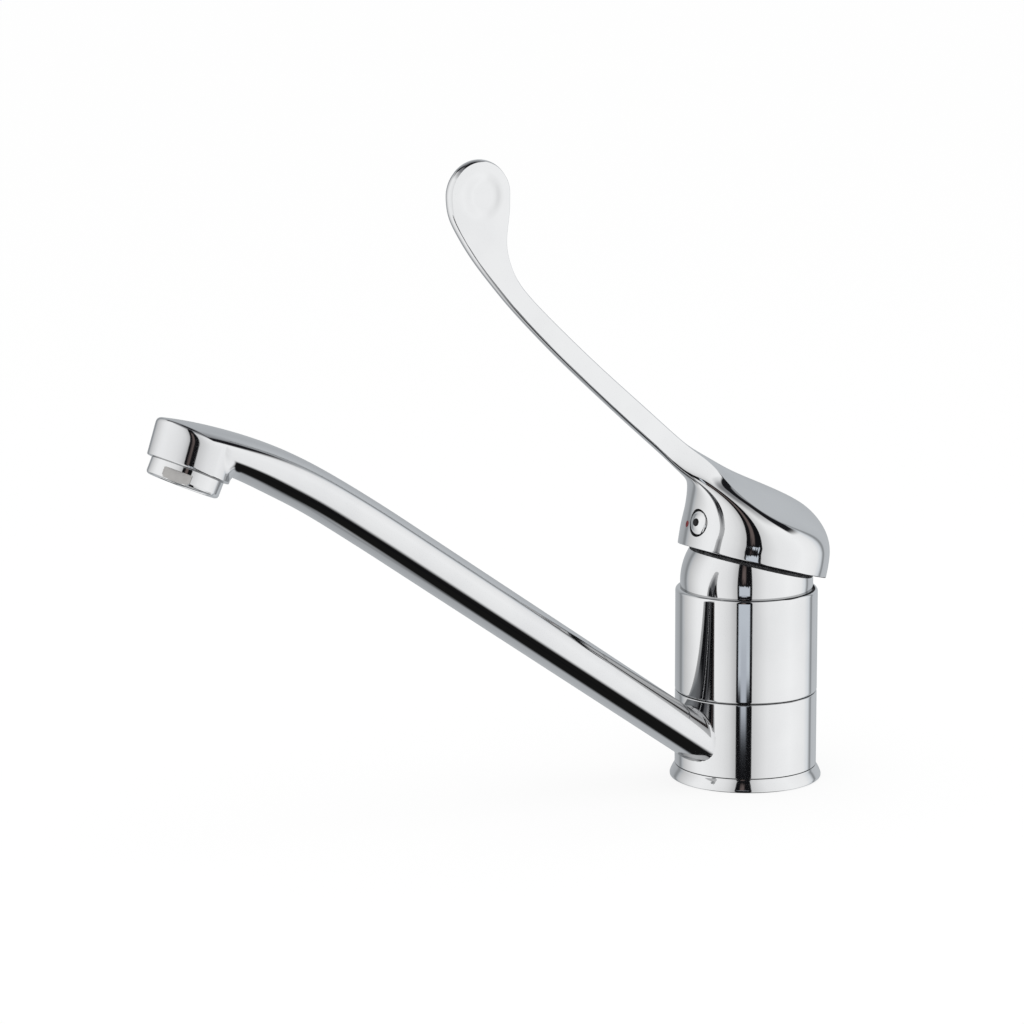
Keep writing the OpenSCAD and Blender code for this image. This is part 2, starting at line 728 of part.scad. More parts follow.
base_flange();
base_gasket();
body_casting();
spout_seal_upper();
spout_seal_lower();
cartridge_base();
cartridge_port_seals();
fixed_disc();
cartridge_housing();
cartridge_nut();
dome_cap();
spout_sleeve();
glide_ring_upper();
glide_ring_lower();
spout_tube();
aerator_gasket();
aerator_insert();
aerator_mesh();
aerator_housing();
stem_guide();
stem_pivot_pin();
disc_carrier();
moving_disc();
cartridge_stem();
lever_handle();
handle_set_screw();
indicator_plug();
hot_mark();
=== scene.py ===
"""Looks of the elbow lever tap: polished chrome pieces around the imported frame, in metres.

Sizes in the classes are in millimetres. A place in the tap's upright plane is written as
(reach, height), with reach measured towards -Y.
"""

import logging
from dataclasses import dataclass, field
from enum import Enum
from math import acos, asin, atan2, copysign, cos, hypot, pi, radians, sin, sqrt, tan
from typing import Callable, Sequence

import bmesh
import bpy
import numpy as np
from mathutils import Matrix, Vector


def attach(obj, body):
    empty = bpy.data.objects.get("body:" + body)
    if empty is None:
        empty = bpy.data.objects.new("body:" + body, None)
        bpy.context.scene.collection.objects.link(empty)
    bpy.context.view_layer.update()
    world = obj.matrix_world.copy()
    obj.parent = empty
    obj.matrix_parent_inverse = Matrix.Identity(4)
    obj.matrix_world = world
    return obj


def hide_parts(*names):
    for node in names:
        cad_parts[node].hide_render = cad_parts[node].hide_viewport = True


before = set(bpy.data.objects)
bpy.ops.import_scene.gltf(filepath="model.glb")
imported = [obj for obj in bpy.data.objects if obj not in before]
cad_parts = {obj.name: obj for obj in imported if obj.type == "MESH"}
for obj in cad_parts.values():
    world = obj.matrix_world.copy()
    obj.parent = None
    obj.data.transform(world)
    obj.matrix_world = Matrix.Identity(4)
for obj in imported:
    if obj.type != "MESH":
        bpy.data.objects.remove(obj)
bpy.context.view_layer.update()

MM = 0.001

TINY = 1e-6
WELD = 1e-7  # metres within which points are one
SIDE_SHARE = 0.49  # share of a side that a rounding may take
TURNED_STEPS = 320
CRISP_ANGLE = 30.0  # degrees from which an edge stays crisp

Array = np.ndarray
Colour = tuple[float, float, float]
Faces = list[list[int]]
Inputs = dict[str | int, object]
NodeTree = bpy.types.NodeTree
Piece = bpy.types.Object
Place = tuple[float, float, float]
Socket = bpy.types.NodeSocket
Span = tuple[float, float]

log = logging.getLogger("elbow_lever_tap")


class Body(Enum):
    """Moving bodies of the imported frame."""

    MIXER = "mixer_body"
    SPOUT = "swivel_spout"
    LEVER = "lever"


# ---- Curves and meshes ----


def upright(reach: Array, height: Array, x: Array) -> Array:
    """Places in the tap's frame, x, y and z last, from reach, height and sideways distance."""
    return np.stack(np.broadcast_arrays(x, -np.asarray(reach), height), axis=-1)


def ramp(value: Array, start: float, end: float) -> Array:
    """Smooth step of values from 0 at start to 1 at end."""
    share = np.clip((value - start) / (end - start), 0, 1)
    return share * share * (3 - 2 * share)


def whole_turn(steps: int) -> Array:
    """Angles at equal steps round a full turn, without its end."""
    return np.linspace(0, 2 * pi, steps, endpoint=False)


def run_length(path: Array) -> Array:
    """Distance along a path from its first point to each of its points."""
    steps = np.linalg.norm(np.diff(path, axis=0), axis=1)
    return np.concatenate([[0], np.cumsum(steps)])


def on_path(path: Array, run: Array, at: Array | float) -> Array:
    """Points of a path at distances along it.

    Args:
        path: The path's points.
        run: Distance along the path of each of them.
        at: Distance, or distances, to read.

    Returns:
        A point, or one point per distance.
    """
    return np.stack([np.interp(at, run, path[:, k]) for k in range(path.shape[1])], axis=-1)


def even_steps(path: Array, count: int) -> Array:
    """Points at equal distances along a path, both ends included."""
    run = run_length(path)
    return on_path(path, run, np.linspace(0, run[-1], count))


def spline(rows: Array, at: Array) -> Array:
    """Natural cubic spline through rows, with even curvature from row to row.

    Args:
        rows: One row of values per knot.
        at: Places to read, counted in rows from 0.

    Returns:
        One row of values per place.
    """
    rows = np.asarray(rows, float)
    n = len(rows)
    system = np.eye(n)
    right = np.zeros_like(rows)
    for i in range(1, n - 1):
        system[i, i - 1 : i + 2] = (1, 4, 1)
        right[i] = 6 * (rows[i - 1] - 2 * rows[i] + rows[i + 1])
    bend = np.linalg.solve(system, right)
    i = np.clip(at.astype(int), 0, n - 2)
    t = (at - i)[:, None]
    s = 1 - t
    curved = ((s**3 - s) * bend[i] + (t**3 - t) * bend[i + 1]) / 6
    return s * rows[i] + t * rows[i + 1] + curved


def eased(rows: Array, passes: int, pull: float = 0.25) -> Array:
    """Rows with small kinks taken out and the ends kept.

    Args:
        rows: One row of values per station.
        passes: How often each station is drawn towards its neighbours.
        pull: How far it is drawn.

    Returns:
        The eased rows.
    """
    rows = np.array(rows, float)
    for _ in range(passes):
        rows[1:-1] += pull * (rows[:-2] - 2 * rows[1:-1] + rows[2:])
    return rows


def cut_corner(before: Array, corner: Array, after: Array, steps: int) -> Array:
    """Points of a soft corner between two places, without those two.

    Args:
        before: Place where the rounding starts.
        corner: The sharp corner that it replaces.
        after: Place where the rounding ends.
        steps: Number of points to return.

    Returns:
        An array of points with the steps as its first axis.
    """
    t = np.linspace(0, 1, steps + 2)[1:-1].reshape((-1,) + (1,) * np.ndim(corner))
    return (1 - t) ** 2 * before + 2 * t * (1 - t) * corner + t**2 * after


def soft_largest(a: Array, b: Array, width: Array | float) -> Array:
    """The larger of two values, with a rounded change of a given width between them."""
    share = np.clip(0.5 + 0.5 * (a - b) / width, 0, 1)
    return b + (a - b) * share + width * share * (1 - share)


def rounded_profile(corners: Sequence[tuple[float, float, float]], steps: int = 6) -> Array:
    """Profile with its corners rounded.

    Args:
        corners: Radius, height and rounding of each corner.
        steps: Points per rounding.

    Returns:
        The profile's points.
    """
    points = np.array([c[:2] for c in corners], float)
    out = []
    for i, (_, _, fillet) in enumerate(corners):
        here = points[i]
        if fillet <= 0 or i in (0, len(corners) - 1):
            out.append(here)
            continue
        back, on = points[i - 1] - here, points[i + 1] - here
        back_len, on_len = np.linalg.norm(back), np.linalg.norm(on)
        half = acos(np.clip(back @ on / back_len / on_len, -1, 1)) / 2
        reach = min(fillet / tan(half), SIDE_SHARE * back_len, SIDE_SHARE * on_len)
        radius = reach * tan(half)
        middle = (back / back_len + on / on_len) / 2
        centre = here + middle / np.linalg.norm(middle) * radius / sin(half)
        first = here + back / back_len * reach - centre
        last = here + on / on_len * reach - centre
        sweep = acos(np.clip(first @ last / radius**2, -1, 1))
        for k in range(steps + 1):
            t = k / steps
            arm = sin((1 - t) * sweep) * first + sin(t * sweep) * last
            out.append(centre + arm / sin(sweep))
    return np.array(out)


def plug_outline(radius: float, low: float, high: float, edge: float, steps: int) -> Array:
    """Outline of a solid cylinder from low to high, whose low edge has a rounding in steps."""
    corners = [(0, low, 0), (radius, low, edge), (radius, high, 0), (0, high, 0)]
    return rounded_profile(corners, steps)


def braced(profile: Array, gap: float = 0.04, gaps: float = 8) -> Array:
    """Profile with a point close to both ends of each long straight, which keeps walls straight.

    Args:
        profile: The profile's points.
        gap: Distance of the added points from the ends.
        gaps: Length from which a straight counts as long, in gaps.

    Returns:
        The profile with the added points.
    """
    out = [profile[0]]
    for before, after in zip(profile[:-1], profile[1:]):
        length = np.linalg.norm(after - before)
        if length > gaps * gap:
            step = (after - before) * gap / length
            out += [before + step, after - step]
        out.append(after)
    return np.array(out)


def linked(name: str, data: bpy.types.ID) -> Piece:
    """Makes an object from its data and links it to the scene.

    Args:
        name: The object's name.
        data: Its mesh, light or camera.

    Returns:
        The new object.
    """
    made = bpy.data.objects.new(name, data)
    bpy.context.scene.collection.objects.link(made)
    return made


def smooth_shaded(mesh: bpy.types.Mesh, crisp: float | None = CRISP_ANGLE) -> None:
    """Lights a mesh smoothly, apart from its crisp edges.

    Args:
        mesh: The mesh.
        crisp: Angle in degrees from which an edge stays crisp, if any does.
    """
    for polygon in mesh.polygons:
        polygon.use_smooth = True
    if crisp is not None:
        mesh.set_sharp_from_angle(angle=radians(crisp))


def place_mesh(
    name: str,
    points: Array,
    faces: Sequence[Sequence[int]],
    normals: Array | None = None,
) -> Piece:
    """Makes a piece at the origin from points in millimetres.

    Args:
        name: The piece's name.
        points: Its points in the tap's frame.
        faces: Its faces as lists of point numbers.
        normals: Normals of the points, where the surface's own are known.

    Returns:
        The new object.
    """
    mesh = bpy.data.meshes.new(name)
    mesh.from_pydata((np.asarray(points) * MM).tolist(), [], faces)
    mesh.update()
    smooth_shaded(mesh, None)
    if normals is not None:
        mesh.normals_split_custom_set_from_vertices(np.asarray(normals).tolist())
    return linked(name, mesh)


def face_outwards(piece: Piece) -> None:
    """Turns every closed shell of a piece the right way out.

    Args:
        piece: The piece to turn.
    """
    shape = bmesh.new()
    shape.from_mesh(piece.data)
    bmesh.ops.remove_doubles(shape, verts=shape.verts, dist=WELD)
    bmesh.ops.recalc_face_normals(shape, faces=shape.faces)
    shape.to_mesh(piece.data)
    shape.free()


def ring_faces(rings: int, around: int) -> Faces:
    """Faces between rings with equal numbers of points.

    Args:
        rings: Number of rings.
        around: Points in each ring.

    Returns:
        Four-sided faces.
    """
    p = np.arange(rings - 1)[:, None] * around
    j = np.arange(around)[None, :]
    k = (j + 1) % around
    q = p + around
    return np.stack([p + j, q + j, q + k, p + k], axis=-1).reshape(-1, 4).tolist()


def turned_points(profile: Array, segments: int) -> tuple[Array, Faces]:
    """Points and faces of a turned shape about the Z axis.

    Args:
        profile: Radius and height of each point. A radius of 0 at an end makes a pole.
        segments: Number of steps around.

    Returns:
        The points, and the faces.
    """
    v = whole_turn(segments)
    points: list[Array] = []
    starts: list[tuple[int, bool]] = []
    count = 0
    for radius, height in profile:
        pole = radius < TINY
        starts.append((count, pole))
        ring = [radius * np.cos(v), radius * np.sin(v), np.full(segments, height)]
        points.append(np.array([[0, 0, height]]) if pole else np.stack(ring, 1))
        count += len(points[-1])
    faces: Faces = []
    around = np.arange(segments)
    turn = (around + 1) % segments
    for (a, pole_a), (b, pole_b) in zip(starts[:-1], starts[1:]):
        if pole_a:
            row = [np.full(segments, a), b + around, b + turn]
        elif pole_b:
            row = [a + around, np.full(segments, b), a + turn]
        else:
            row = [a + around, b + around, b + turn, a + turn]
        faces += np.stack(row, 1)[:, ::-1].tolist()
    return np.concatenate(points), faces


def turned(
    name: str,
    profile: Array,
    segments: int = TURNED_STEPS,
    place: Matrix | None = None,
    crisp: float = CRISP_ANGLE,
) -> Piece:
    """Makes a turned piece.

    Args:
        name: The piece's name.
        profile: Radius and height of each point, from one end to the other.
        segments: Number of steps around.
        place: Where it goes, in millimetres; upright at the origin if left out.
        crisp: Angle in degrees from which an edge stays crisp.

    Returns:
        The new object.
    """
    profile = braced(profile)
    if np.linalg.norm(profile[0] - profile[-1]) < TINY:
        points, faces = turned_points(profile[:-1], segments)
        last = (len(profile) - 2) * segments
        turns = ((j, (j + 1) % segments) for j in range(segments))
        faces += [[last + j, last + k, k, j] for j, k in turns]
    else:
        points, faces = turned_points(profile, segments)
    if place is not None:
        turn = np.array(place)
        points = points @ turn[:3, :3].T + turn[:3, 3]
    piece = place_mesh(name, points, faces)
    face_outwards(piece)
    smooth_shaded(piece.data, crisp)
    return piece


# ---- Node trees ----


@dataclass
class Tree:
    """Shorthand for building one node tree.

    Attributes:
        tree: The tree that is built.
    """

    tree: NodeTree

    @classmethod
    def of(cls, owner: bpy.types.Material | bpy.types.World) -> "Tree":
        """Empties a node tree to build it anew.

        Args:
            owner: The material or world that holds it.

        Returns:
            Its tree.
        """
        owner.use_nodes = True
        owner.node_tree.nodes.clear()
        return cls(owner.node_tree)

    @classmethod
    def group(
        cls, name: str, kind: str, inputs: dict[str, object], outputs: dict[str, str]
    ) -> "Tree":
        """Starts a node group.

        Args:
            name: The group's name.
            kind: Its type of tree.
            inputs: First value of each input, or its socket's type where it has none.
            outputs: Socket type of each output.

        Returns:
            The group's tree.
        """
        made = bpy.data.node_groups.new(name, kind)
        for label, value in inputs.items():
            if isinstance(value, str):
                made.interface.new_socket(label, in_out="INPUT", socket_type=value)
                continue
            plain = "NodeSocketColor" if isinstance(value, tuple) else "NodeSocketFloat"
            socket = made.interface.new_socket(label, in_out="INPUT", socket_type=plain)
            socket.default_value = value
        for label, value in outputs.items():
            made.interface.new_socket(label, in_out="OUTPUT", socket_type=value)
        return cls(made)

    def given(self) -> dict[str, Socket]:
        """Inputs of the group by name, for its nodes to read."""
        return dict(self.node("NodeGroupInput").outputs.items())

    def node(self, kind: str, inputs: Inputs | None = None, **values: object) -> bpy.types.Node:
        """Adds a node.

        Args:
            kind: The node's type.
            inputs: Values or sockets for its inputs, by name or number.
            **values: Properties set on the node.

        Returns:
            The new node.
        """
        made = self.tree.nodes.new(kind)
        for key, value in values.items():
            setattr(made, key, value)
        for key, value in (inputs or {}).items():
            socket = made.inputs[key]
            if isinstance(value, Socket):
                self.tree.links.new(value, socket)
            else:
                socket.default_value = value
        return made

    def out(self, kind: str, inputs: Inputs | None = None, **values: object) -> Socket:
        """Adds a node, as node does, and returns its first output."""
        return self.node(kind, inputs, **values).outputs[0]

    def math(self, operation: str, *values: object) -> Socket:
        """Adds a Math node for numbers or sockets and returns its result."""
        return self.out("ShaderNodeMath", dict(enumerate(values)), operation=operation)

    def product(self, *values: object) -> Socket:
        """Multiplies values, from the first to the last.

        Args:
            *values: Numbers or sockets.

        Returns:
            The result's socket.
        """
        result = values[0]
        for value in values[1:]:
            result = self.math("MULTIPLY", result, value)
        return result

    def total(self, first: object, second: object) -> Socket:
        """Adds two numbers or sockets."""
        return self.math("ADD", first, second)

    def step(self, value: Socket, start: float, end: float) -> Socket:
        """Smooth step of a value from 0 at start to 1 at end."""
        limits = {0: value, 1: start, 2: end, 3: 0.0, 4: 1.0}
        return self.out("ShaderNodeMapRange", limits, interpolation_type="SMOOTHSTEP")

    def vector(self, parts: Inputs) -> Socket:
        """Makes a vector from parts by number."""
        return self.out("ShaderNodeCombineXYZ", parts)

    def parts(self, vector: Socket) -> Sequence[Socket]:
        """Splits a vector into its parts."""
        return self.node("ShaderNodeSeparateXYZ", {0: vector}).outputs

    def here(self) -> Socket:
        """Object coordinates of the shaded place."""
        return self.node("ShaderNodeTexCoord").outputs["Object"]

    def mix(self, share: object, first: object, second: object) -> Socket:
        """Mixes two colours, from the first at 0 to the second at 1."""
        made = self.node("ShaderNodeMix", {0: share, 6: first, 7: second}, data_type="RGBA")
        return made.outputs[2]

    def finish_geometry(self, geometry: Socket, material: object) -> None:
        """Ends a Geometry Nodes tree with real geometry.

        Args:
            geometry: The geometry so far.
            material: The socket of its material.
        """
        real = self.out("GeometryNodeRealizeInstances", {0: geometry})
        dressed = self.out("GeometryNodeSetMaterial", {"Geometry": real, "Material": material})
        self.node("NodeGroupOutput", {"Geometry": dressed})


def grown(name: str, tree: NodeTree, values: dict[str, object]) -> Piece:
    """Grows a piece from a Geometry Nodes tree and returns it as a plain mesh.

    Args:
        name: The piece's name.
        tree: The tree.
        values: Values of its named inputs.

    Returns:
        The new object, with no modifier.
    """
    seed = linked(name + "_seed", bpy.data.meshes.new(name + "_seed"))
    modifier = seed.modifiers.new("grow", "NODES")
    modifier.node_group = tree
    for item in tree.interface.items_tree:
        if item.item_type == "SOCKET" and item.in_out == "INPUT" and item.name in values:
            modifier[item.identifier] = values[item.name]
    mesh = shown_mesh(seed, name)
    bpy.data.objects.remove(seed)
    return linked(name, mesh)


def shown_mesh(piece: Piece, name: str) -> bpy.types.Mesh:
    """Mesh of a piece with its modifiers applied.

    Args:
        piece: The piece.
        name: The mesh's name.

    Returns:
        The new mesh.
    """
    bpy.context.view_layer.update()
    shown = piece.evaluated_get(bpy.context.evaluated_depsgraph_get())
    mesh = bpy.data.meshes.new_from_object(shown)
    mesh.name = name
    return mesh


# ---- Finishes ----


def polish_marks() -> NodeTree:
    """Shared effect: faint haze and buffing marks of a polished or moulded skin.

    Returns:
        The node group, with varying colour, roughness and height.
    """
    name = "polish_marks"
    if name in bpy.data.node_groups:
        return bpy.data.node_groups[name]
    t = Tree.group(
        name,
        "ShaderNodeTree",
        {
            "Grain Scale": 900.0,
            "Haze Scale": 60.0,
            "Least Roughness": 0.04,
            "Most Roughness": 0.07,
            "Light Colour": (0.9, 0.9, 0.9, 1),
            "Dark Colour": (0.85, 0.85, 0.85, 1),
        },
        {"Colour": "NodeSocketColor", "Roughness": "NodeSocketFloat", "Height": "NodeSocketFloat"},
    )
    given = t.given()
    place = t.here()
    haze, grain = (
        t.out(
            "ShaderNodeTexNoise",
            {"Vector": place, "Scale": given[scale], "Detail": detail, "Roughness": rough},
        )
        for scale, detail, rough in (("Haze Scale", 3.0, 0.55), ("Grain Scale", 2.0, 0.5))
    )
    spread = t.step(haze, 0.36, 0.66)
    limits = {0: spread, 3: given["Least Roughness"], 4: given["Most Roughness"]}
    rough = t.out("ShaderNodeMapRange", limits)
    colour = t.mix(spread, given["Light Colour"], given["Dark Colour"])
    t.node("NodeGroupOutput", {"Colour": colour, "Roughness": rough, "Height": grain})
    return t.tree


@dataclass(frozen=True)
class Finish:
    """One finish of the tap, built on the shared polish marks.

    Attributes:
        name: The material's name.
        light: Colour of its cleaner places, linear.
        dark: Colour of its duller places, linear.
        least: Lowest roughness.
        most: Highest roughness.
        grain: Scale of the fine grain, per metre.
        haze: Scale of the broad variation, per metre.
        relief: Height of the fine grain in metres.
        metal: Whether it is bare metal.
        coat: Weight of a clear glossy coat.
    """

    name: str
    light: Colour
    dark: Colour
    least: float
    most: float
    grain: float
    haze: float
    relief: float
    metal: bool = False
    coat: float = 0.0

    def material(self) -> bpy.types.Material:
        """Builds the material, once.

        Returns:
            The material.
        """
        if self.name in bpy.data.materials:
            return bpy.data.materials[self.name]
        made = bpy.data.materials.new(self.name)
        t = Tree.of(made)
        marks = t.node(
            "ShaderNodeGroup",
            {
                "Grain Scale": self.grain,
                "Haze Scale": self.haze,
                "Least Roughness": self.least,
                "Most Roughness": self.most,
                "Light Colour": (*self.light, 1),
                "Dark Colour": (*self.dark, 1),
            },
            node_tree=polish_marks(),
        ).outputs
        bump = {"Height": marks["Height"], "Distance": self.relief, "Strength": 1.0}
        shader = t.out(
            "ShaderNodeBsdfPrincipled",
            {
                "Base Color": marks["Colour"],
                "Roughness": marks["Roughness"],
                "Metallic": 1.0 if self.metal else 0.0,
                "Coat Weight": self.coat,
                "Coat Roughness": 0.05,
                "Normal": t.out("ShaderNodeBump", bump),
            },
        )
        t.node("ShaderNodeOutputMaterial", {"Surface": shader})
        made.diffuse_color = (*self.light, 1)
        return made


def metal(name: str, light: Colour, dark: Colour, *surface: float) -> Finish:
    """Finish of bare metal, with its roughness, grain, haze and relief in that order."""
    return Finish(name, light, dark, *surface, metal=True)


def plastic(name: str, light: Colour, dark: Colour, least: float, most: float) -> Finish:
    """Finish of a moulded plastic part."""
    return Finish(name, light, dark, least, most, 1500, 90, 0.00001)


CHROME = metal(
    "polished_chrome", (0.93, 0.935, 0.94), (0.9, 0.905, 0.912), 0.035, 0.06, 1500, 45, 4e-7
)
SOFT_CHROME = metal(
    "cast_chrome", (0.9, 0.905, 0.912), (0.87, 0.875, 0.885), 0.05, 0.085, 1300, 55, 6e-7
)
SATIN_STEEL = metal(
    "satin_chrome", (0.78, 0.765, 0.745), (0.7, 0.685, 0.67), 0.42, 0.52, 2400, 200, 2e-6
)
BRASS = metal("turned_brass", (0.8, 0.61, 0.3), (0.66, 0.48, 0.22), 0.2, 0.36, 1900, 110, 4e-6)
SCREEN_STEEL = metal(
    "woven_steel", (0.58, 0.59, 0.6), (0.44, 0.45, 0.46), 0.25, 0.42, 2600, 300, 2e-6
)
PIN_STEEL = metal("ground_steel", (0.62, 0.62, 0.62), (0.5, 0.5, 0.51), 0.2, 0.35, 2000, 140, 3e-6)
SCREW_STEEL = metal("black_steel", (0.3, 0.3, 0.31), (0.18, 0.18, 0.19), 0.3, 0.5, 2000, 140, 4e-6)
HOUSING_PLASTIC = plastic("ivory_plastic", (0.84, 0.82, 0.76), (0.78, 0.76, 0.69), 0.35, 0.5)
GUIDE_PLASTIC = plastic("grey_plastic", (0.36, 0.37, 0.39), (0.29, 0.3, 0.32), 0.32, 0.48)
GLIDE_PLASTIC = plastic("white_plastic", (0.9, 0.9, 0.88), (0.83, 0.83, 0.81), 0.25, 0.4)
INSERT_PLASTIC = plastic("light_plastic", (0.74, 0.75, 0.76), (0.66, 0.67, 0.69), 0.3, 0.45)
# painted shade: the black filler in the button's centre hole stands for the hole's shade
HOLE_SHADE = Finish(
    "painted_hole_shade", (0.006, 0.006, 0.007), (0.004, 0.004, 0.005), 0.6, 0.7, 2000, 200, 4e-6
)
RUBBER = Finish(
    "black_rubber", (0.03, 0.03, 0.031), (0.018, 0.018, 0.019), 0.55, 0.8, 1800, 150, 2e-5
)
CERAMIC = Finish(
    "lapped_ceramic", (0.93, 0.92, 0.88), (0.87, 0.86, 0.81), 0.12, 0.22, 2200, 120, 2e-6, coat=0.3
)
# painted shade: a near-black finish for the lever's hollow, the rim's underside, the button's seat
# and its side, where the gaps lie in shade
PAINTED_SHADE = Finish(
    "painted_shade", (0.045, 0.045, 0.05), (0.02, 0.02, 0.022), 0.5, 0.75, 1500, 200, 2e-5
)
RED_ENAMEL = Finish(
    "red_enamel", (0.22, 0.006, 0.01), (0.16, 0.004, 0.008), 0.5, 0.6, 2500, 300, 2e-6
)


def dress(piece: Piece, finish: Finish, body: Body, slot: str, *nodes: str) -> Piece:
    """Gives a finished piece its material and its body, and hides the CAD nodes it stands for.

    Args:
        piece: The piece, at the origin.
        finish: Its finish.
        body: The body it moves with.
        slot: Not used.
        *nodes: CAD nodes that it stands for.

    Returns:
        The piece.
    """
    piece.data.materials.clear()
    piece.data.materials.append(finish.material())
    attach(piece, body.value)
    if nodes:
        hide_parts(*nodes)
    faces, stands_for = len(piece.data.polygons), ", ".join(nodes) or "no node"
    log.info("%s: %d faces, stands for %s", piece.name, faces, stands_for)
    return piece


def repaint(
    piece: Piece, finish: Finish, chosen: Callable[[bpy.types.MeshPolygon], bool]
) -> None:
    """Gives some faces of a dressed piece a second finish.

    Args:
        piece: The piece.
        finish: The second finish.
        chosen: Whether a face takes it.
    """
    piece.data.materials.append(finish.material())
    for polygon in piece.data.polygons:
        if chosen(polygon):
            polygon.material_index = 1


def dress_nodes(finish: Finish, *nodes: str) -> None:
    """Gives CAD nodes that stay in the scene their procedural material.

    Args:
        finish: Their finish.
        *nodes: The nodes' names.
    """
    for node in nodes:
        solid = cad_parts[node]
        if not solid.material_slots:
            solid.data.materials.append(None)
        for place in solid.material_slots:
            place.link = "OBJECT"
            place.material = finish.material()
        log.info("%s keeps its CAD shape, in %s", node, finish.name)


# ---- Foot, sleeve and body ----


@dataclass
class Foot:
    """Foot ring on the deck with its rubber ring."""

    radius: float = 25.0
    body_radius: float = 23.4
    height: float = 4.4
    bore: float = 17.1
    lift: float = 0.2
    groove: Span = (20.05, 22.45)
    groove_top: float = 1.6
    flare: tuple[Span, ...] = (
        (25.0, 1.1),
        (24.75, 1.8),
        (24.38, 2.6),
        (23.98, 3.35),
        (23.55, 4.05),
    )
    flare_points: int = 22

    def profile(self) -> Array:
        """Closed outline of the ring.

        Returns:
            Its points, from the bore's foot round the outside.
        """
        inner, outer = self.groove
        under = rounded_profile(
            [
                (self.bore, self.height / 2, 0),
                (self.bore, self.lift, 0.2),
                (inner, self.lift, 0.1),
                (inner, self.groove_top, 0.1),
                (outer, self.groove_top, 0.1),
                (outer, self.lift, 0.1),
                (self.radius, self.lift, 0.6),
                (*self.flare[0], 0),
            ]
        )
        steps = np.linspace(0, len(self.flare) - 1, self.flare_points)
        flare = spline(np.array(self.flare), steps)
        top = rounded_profile(
            [
                (*self.flare[-1], 0),
                (self.body_radius, self.height, 0.12),
                (self.bore, self.height, 0.2),
                (self.bore, self.height / 2, 0),
            ]
        )
        return np.concatenate([under, flare[1:], top[1:]])

    def build(self) -> None:
        """Makes the ring and dresses its rubber."""
        ring = turned("foot_ring", self.profile())
        dress(ring, CHROME, Body.MIXER, "chrome_foot", "base_flange")
        dress_nodes(RUBBER, "base_gasket")


@dataclass
class Sleeve:
    """Sleeve that turns on the body's spigot and carries the spout."""

    radius: float = 23.4
    bottom: float = 4.55
    height: float = 24.7
    bore: float = 17.1
    seat_radius: float = 19.6
    seat: float = 1.2
    top_edge: float = 0.4
    edge: float = 0.25

    def profile(self) -> Array:
        """Closed outline of the sleeve with a seat for each glide ring.

        Returns:
            Its points.
        """
        low, high = self.bottom, self.bottom + self.height
        middle = (low + high) / 2
        return rounded_profile(
            [
                (self.bore, middle, 0),
                (self.bore, low + self.seat, 0.1),
                (self.seat_radius, low + self.seat, 0.1),
                (self.seat_radius, low, 0.1),
                (self.radius, low, self.edge),
                (self.radius, high, self.top_edge),
                (self.seat_radius, high, 0.1),
                (self.seat_radius, high - self.seat, 0.1),
                (self.bore, high - self.seat, 0.1),
                (self.bore, middle, 0),
            ]
        )

    def build(self) -> None:
        """Makes the sleeve and dresses the glide rings and seals."""
        shell = turned("spout_collar", self.profile())
        dress(shell, CHROME, Body.SPOUT, "chrome_sleeve", "spout_sleeve")
        dress_nodes(GLIDE_PLASTIC, "glide_ring_upper", "glide_ring_lower")
        dress_nodes(RUBBER, "spout_seal_upper", "spout_seal_lower")


